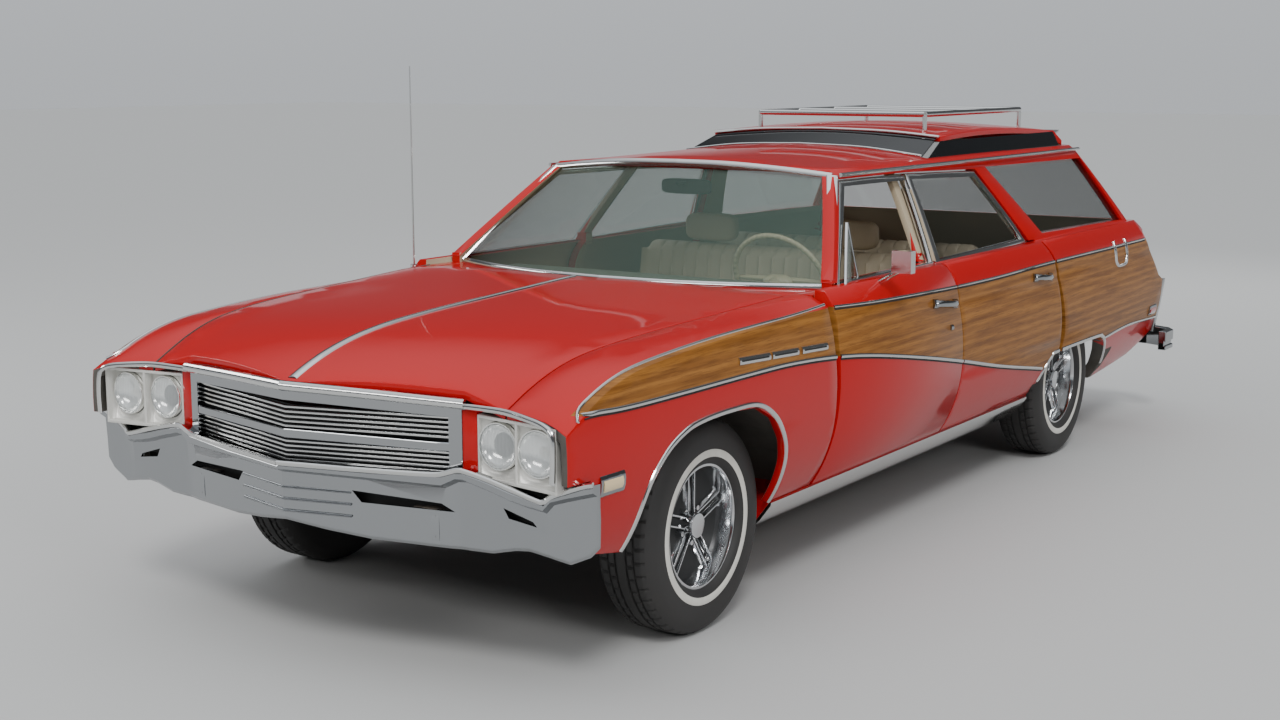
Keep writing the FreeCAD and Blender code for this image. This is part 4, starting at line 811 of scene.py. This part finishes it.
for name, sign, back in WHEELS:
    hub = place(0, back, WHEEL_RADIUS)
    node = "wheel_" + name
    wheel = skin_of(node, 0.0012)
    for face in wheel.faces:
        centre = face.calc_center_median()
        depth = abs(centre.x) * 1000 - INNER_FACE
        flat = abs(face.normal.x) > 0.9 and abs(depth - DISC_DEPTH) < 1.5
        if depth < DARK_DEPTH or flat and DISC_FROM < radius_of(centre, hub) < DISC_TO:
            face.material_index = 1
    parts = [wheel]
    for i in range(5):
        angle = 2 * math.pi * (i + 0.5) / 5
        nut = bmesh.new()
        bmesh.ops.create_cone(nut, cap_ends=True, segments=6, radius1=0.0105, radius2=0.0085,
                              depth=NUT_HEIGHT)
        for vert in nut.verts:
            off_disc = DISC_DEPTH / 1000 + NUT_HEIGHT / 2 + vert.co.z
            spot = Vector((sign * off_disc, vert.co.x, vert.co.y))
            vert.co = spot + Vector((sign * INNER_FACE / 1000, hub.y + STUD_CIRCLE * math.sin(angle),
                                     hub.z + STUD_CIRCLE * math.cos(angle)))
        bmesh.ops.recalc_face_normals(nut, faces=nut.faces)
        parts.append(nut)
    made(merged(*parts), node + "_bright", (rim_chrome, black_paint), body_of_node[node], "wheel_chrome",
         node)


# Tyres: moulded rubber with block tread, rounded shoulders, a rubbing rib and a narrow white
# ring on the outer side.
# Half of the outline, from the bead to the middle of the tread: distance from the side, radius.
TYRE_SIDE = ((22, 196), (13, 203), (8, 212), (6.2, 217), (5, 219), (3.6, 240), (4.6, 243), (2.2, 256),
             (1.4, 272), (2.0, 288), (4.0, 298), (8.5, 310), (15, 321), (22, 328), (29, 333), (33, 335.5),
             (36, 336.2), (44, 336.8), (52, 337.2), (54, 337.3), (60, 337.3), (62, 337.4), (78, 337.8),
             (80, 337.8), (86, 337.9), (88, 337.9), (102.5, 338))
TYRE_WIDTH = 205
TREAD_EDGE = 27
GROOVES = (57, 83)  # distance of each groove's middle from the tyre's side
GROOVE_HALF = 3.5
GROOVE_DEPTH = 7
CROSS_CUT_END = 86
CROSS_CUT_DEPTH = 6
CROSS_CUT_EACH = 6  # tread steps from one cross cut to the next
WHITE_RING = (218, 242)
WHITE_DEPTH = 190
TREAD_STEPS = 288
rubber, at = finish("rubber", (0.020, 0.020, 0.021), 0.62)
dust = at.noise(9.0, 6.0, 0.7)
dust.mix((0.016, 0.016, 0.017), (0.040, 0.037, 0.034)).feed("Base Color")
(0.5 + 0.25 * dust).feed("Roughness")
whitewall, at = finish("whitewall", (0.74, 0.73, 0.68), 0.55)
at.noise(20.0, 6.0, 0.6).mix((0.80, 0.79, 0.74), (0.60, 0.57, 0.50)).feed("Base Color")
tyre_profile = list(TYRE_SIDE) + [(TYRE_WIDTH - depth, radius) for depth, radius in reversed(TYRE_SIDE[:-1])]


def tread(depth, step):
    """How deep the tread is cut at a distance from the tyre's side and a step round it."""
    inner = min(depth, TYRE_WIDTH - depth)
    if inner <= TREAD_EDGE:
        return 0
    if any(abs(inner - groove) < GROOVE_HALF for groove in GROOVES):
        return GROOVE_DEPTH
    shift = 2 * sum(inner > groove for groove in GROOVES)
    crossed = (step + shift) % CROSS_CUT_EACH == 0 and inner < CROSS_CUT_END
    return CROSS_CUT_DEPTH if crossed else 0


def tyre_shape(sign, hub):
    def shape(a, b):
        depth, radius = tyre_profile[round(b * (len(tyre_profile) - 1))]
        step = round(a * TREAD_STEPS) % TREAD_STEPS
        reach = (radius - tread(depth, step)) / 1000
        angle = 2 * math.pi * step / TREAD_STEPS
        return Vector((sign * (INNER_FACE + depth) / 1000, hub.y + reach * math.sin(angle),
                       hub.z + reach * math.cos(angle)))
    return shape


for name, sign, back in WHEELS:
    hub = place(0, back, WHEEL_RADIUS)
    node = "tyre_" + name
    tyre = formed(tyre_shape(sign, hub), TREAD_STEPS, len(tyre_profile) - 1)
    bmesh.ops.remove_doubles(tyre, verts=tyre.verts, dist=1e-6)
    bmesh.ops.bridge_loops(tyre, edges=[edge for edge in tyre.edges if edge.is_boundary])
    bmesh.ops.recalc_face_normals(tyre, faces=tyre.faces)
    for face in tyre.faces:
        centre = face.calc_center_median()
        white = WHITE_RING[0] < radius_of(centre, hub) < WHITE_RING[1]
        if white and abs(centre.x) * 1000 > INNER_FACE + WHITE_DEPTH:
            face.material_index = 1
    made(tyre, node + "_tread", (rubber, whitewall), body_of_node[node], "tyre_rubber", node, crease=28)


# Seats: cream vinyl over foam, with upright pleats sewn between a smooth border and piping,
# and tan head rests on the front bench. Both benches stand on black steel frames.
SEAT_BASE = 412
PLEAT = 62
FRONT_BENCH = ((0, 14), (0, 112), (14, 136), (40, 147), (250, 143), (470, 140), (507, 146), (530, 230),
               (558, 440), (572, 545), (590, 572), (620, 580), (650, 574), (672, 550), (668, 400),
               (640, 140), (624, 14))  # back from the seat's front edge, height over its base
REAR_BENCH = ((0, 14), (0, 112), (14, 136), (40, 147), (200, 143), (340, 140), (378, 146), (400, 260),
              (430, 460), (440, 540), (456, 562), (488, 570), (520, 562), (534, 540), (528, 400),
              (506, 140), (490, 14))
BENCHES = (("front_seat", FRONT_BENCH, 638, 1331), ("rear_seat", REAR_BENCH, 628, 2081))
BENCH_POINTS = 120
FIRST_PLEAT, LAST_PLEAT = 22, 78  # points of the outline between which the pleats run
END_ROLL = 34  # the ends are drawn in over this width, by as much
PLEAT_BORDER = 70
MIDDLE_SEAM = 3
HEADREST = (205, 455)
cream_vinyl, at = finish("cream_vinyl", (0.66, 0.58, 0.42), 0.45)
grain = at.noise(420.0, 2.0)
at.noise(6.0, 4.0).mix((0.70, 0.62, 0.46), (0.56, 0.48, 0.34)).feed("Base Color")
at.bump(grain, 0.15, 0.0006)


def bench(outline, half_width, front):
    """Bench swept across the car: its side outline, drawn in at the ends and between pleats."""
    line = curve_through([Vector((0, back / 1000, z / 1000)) for back, z in outline], BENCH_POINTS)
    middle = Vector((0, sum(p.y for p in line) / BENCH_POINTS, sum(p.z for p in line) / BENCH_POINTS))
    steps = 2 * round(half_width * 2 / PLEAT * 5)

    def shape(a, b):
        i = round(b * BENCH_POINTS) % BENCH_POINTS
        across = (2 * a - 1) * half_width
        ahead = line[(i + 1) % BENCH_POINTS] - line[i - 1]
        out = Vector((0, ahead.z, -ahead.y)).normalized()
        if out.dot(line[i] - middle) < 0:
            out = -out
        end = max(0.0, (abs(across) - half_width + END_ROLL) / END_ROLL)
        depth = END_ROLL / 1000 * (1 - math.sqrt(max(0.0, 1 - end * end)))
        if FIRST_PLEAT < i < LAST_PLEAT and abs(across) < half_width - PLEAT_BORDER:
            depth += 0.009 * (1 - abs(math.sin(math.pi * across / PLEAT))) ** 3
        elif abs(across) < MIDDLE_SEAM:
            depth += 0.012
        spot = line[i] - out * depth
        return Vector((across / 1000, spot.y + front / 1000 - FRONT_AXLE, spot.z + SEAT_BASE / 1000))
    return formed(shape, steps, BENCH_POINTS, closed=True)


def pillow(low, high, power=4.0):
    """Rounded block between two corners (across, back, height), full in the middle."""
    bm = bmesh.new()
    bmesh.ops.create_cube(bm, size=2.0)
    bmesh.ops.subdivide_edges(bm, edges=bm.edges, cuts=14, use_grid_fill=True)
    a, b = place(*low), place(*high)
    for vert in bm.verts:
        c = vert.co
        reach = (abs(c.x) ** power + abs(c.y) ** power + abs(c.z) ** power) ** (1 / power)
        c /= max(reach, 1e-6)
        vert.co = Vector([(a[k] + b[k]) / 2 + c[k] * (b[k] - a[k]) / 2 for k in range(3)])
    return bm


for name, outline, half_width, front in BENCHES:
    piece = made(bench(outline, half_width, front), name + "_cover", cream_vinyl, "body", "cream_vinyl",
                 name, crease=50)
for side, sign in SIDES:
    low, high = sorted(sign * across for across in HEADREST)
    piece = made(pillow((low, 1918, 1000), (high, 1986, 1120)), "headrest_" + side, tan_trim, "body",
                 "cream_vinyl", crease=60)
legs = bmesh.new()
for back in (1590, 2340):
    for across in (-450, 450):
        for vert in bmesh.ops.create_cube(legs, size=1.0)["verts"]:
            vert.co = place(across + vert.co.x * 280, back + vert.co.y * 360, 365 + vert.co.z * 124)
made(legs, "seat_frames", black_paint, "body", "black_steel", "front_seat", "rear_seat")


# Dashboard with a padded grey-green top, a dark instrument hood and a bright strip, and the
# steering column with its wheel: a cream rim with finger grips, two spokes and a horn bar.
STEERING_HUB = (375, 1290, 945)
WHEEL_CENTRE = place(*STEERING_HUB)
WHEEL_TILT = Matrix.Rotation(math.radians(-65), 4, "X")
SPOKE_TILT = Matrix.Rotation(math.radians(25), 3, "X")
RIM_RADIUS = 0.190
DASH_STRIP = ((-680, 838), (-680, 846), (680, 846), (680, 838))  # across, height
dash_green, at = finish("dash_green", (0.17, 0.19, 0.13), 0.55)
at.bump(at.noise(260.0, 2.0), 0.3, 0.0008)
made(skin_of("dashboard", 0.018), "dashboard_pad", dash_green, "body", "dash_pad", "dashboard")
made(pillow((170, 1012, 860), (590, 1062, 948), 6.0), "instrument_hood", black_rubber_and_painted_shade, "body", "dash_pad")
made(bar_along(DASH_STRIP, 1039, 1045), "dashboard_strip", bright_steel, "body", "bright_chrome")
cream_plastic, at = finish("cream_plastic", (0.62, 0.56, 0.36), 0.25, Coat_Weight=0.5)
made(skin_of("steering_column", 0.003), "steering_column_cover", cream_plastic, "body", "cream_plastic",
     "steering_column")


def rim_shape(a, b):
    """Wheel rim, thinner between the 48 finger grips on its far side."""
    around, turn = 2 * math.pi * a, 2 * math.pi * b
    grip = 1.4 * math.cos(48 * around) * max(0.0, -math.sin(turn))
    thick = (10 + grip) / 1000
    ring = RIM_RADIUS + thick * math.cos(turn)
    return WHEEL_CENTRE + WHEEL_TILT @ Vector((ring * math.cos(around), ring * math.sin(around),
                                               thick * math.sin(turn)))


def about_hub(low, high):
    """Rounded block between two corners measured from the steering wheel's hub."""
    corners = [[middle + offset for middle, offset in zip(STEERING_HUB, corner)] for corner in (low, high)]
    return pillow(*corners, 3.0)


rim = formed(rim_shape, 288, 16)
bmesh.ops.remove_doubles(rim, verts=rim.verts, dist=1e-6)
bmesh.ops.recalc_face_normals(rim, faces=rim.faces)
spokes = about_hub((-180, -12, -10), (180, 12, 10))
horn_bar = about_hub((-60, -50, -44), (60, 6, 30))
for part in (spokes, horn_bar):
    bmesh.ops.rotate(part, cent=WHEEL_CENTRE, matrix=SPOKE_TILT, verts=part.verts)
made(merged(rim, spokes, horn_bar), "steering_wheel_rim", cream_plastic, "steering_wheel",
     "cream_plastic", "steering_wheel")
mirror_stem = spun(((0, 6), (60, 6)), place(0, 1150, 1300))
made(merged(pillow((-110, 1206, 1258), (110, 1230, 1316), 5.0), mirror_stem), "inner_mirror",
     black_rubber_and_painted_shade, "body", "dash_pad")


# Tail: red lamps in bright frames, a handle and strips across the gate, and a chromed cap on
# each rear corner, outside the lamp.
LENS_ACROSS = ((792, 858), (-858, -792))
LAMP_FRAME = ((786, 4206, 474), (786, 4206, 686), (826, 4206, 692), (866, 4206, 686), (866, 4206, 474),
              (826, 4206, 468), (786, 4206, 474))
TAIL_CAP = ((4190, 424), (4210, 424), (4222, 470), (4238, 540), (4252, 610), (4260, 690), (4190, 690))
CAP_ACROSS, CAP_FOOT = 882, 424
CAP_LEAN = 0.11
lenses = [pillow((low, 4199, 482), (high, 4262, 678), 8.0) for low, high in LENS_ACROSS]
made(merged(*lenses), "tail_lamp_lenses", ruby_lens, "body", "red_lens", "tail_lamps")
line_of("tail_lamp_frame", LAMP_FRAME, (0, 1, 0), 0.014, 0.010, bright_steel, count=60)
line_of("gate_strip", ((-750, 4203, 686), (0, 4203, 686), (750, 4203, 686)), (0, 1, 0.2), 0.020, 0.008,
        bright_steel, "tailgate", both=False)
line_of("gate_foot_strip", ((-750, 4202, 446), (0, 4202, 446), (750, 4202, 446)), (0, 1, 0), 0.016,
        0.006, bright_steel, "tailgate", both=False)
made(pillow((-70, 4200, 560), (70, 4232, 590), 5.0), "gate_handle", chrome, "tailgate", "bright_chrome")
for side, sign in SIDES:
    cap = bmesh.new()
    outline = [cap.verts.new(place(sign * (CAP_ACROSS + (z - CAP_FOOT) * CAP_LEAN), back, z))
               for back, z in TAIL_CAP]
    raised = bmesh.ops.extrude_face_region(cap, geom=[cap.faces.new(outline)])["geom"]
    bmesh.ops.translate(cap, vec=(sign * 0.020, 0, 0),
                        verts=[item for item in raised if isinstance(item, bmesh.types.BMVert)])
    bmesh.ops.recalc_face_normals(cap, faces=cap.faces)
    bmesh.ops.bevel(cap, geom=cap.edges, offset=0.004, segments=2, profile=0.5, affect="EDGES", material=-1)
    made(cap, "tail_corner_" + side, chrome, "body", "bright_chrome")


# Bright edges of the raised roof's panes, and the slim frame and post of the vent pane that
# swings on the driver's door.
DOOR = "front_door_left"
PANE_EDGES = (  # title, body, width, outward, stops
    ("sky_front_foot", "body", 0.012, (0, -1, 1), ((0, 2116, 1417), (300, 2116, 1408), (562, 2116, 1380))),
    ("sky_front_head", "body", 0.014, (0, -0.5, 1), ((0, 2322, 1476), (300, 2322, 1469), (545, 2322, 1450))),
    ("sky_side_foot", "body", 0.012, (1, 0, 1), ((590, 2124, 1364), (590, 2800, 1364), (590, 3630, 1364))),
    ("vent_post", DOOR, 0.012, (0.6, -0.7, 0.2), ((859, 878, 1000), (800, 994, 1095), (743, 1108, 1190))),
    ("vent_frame", DOOR, 0.012, (0.7, 0.5, 0.2), ((743, 1110, 1190), (780, 1086, 1080), (808, 1070, 1002))),
)
for title, body, width, outward, stops in PANE_EDGES:
    line_of(title, stops, outward, width, 0.006, bright_steel, body, both=body == "body")
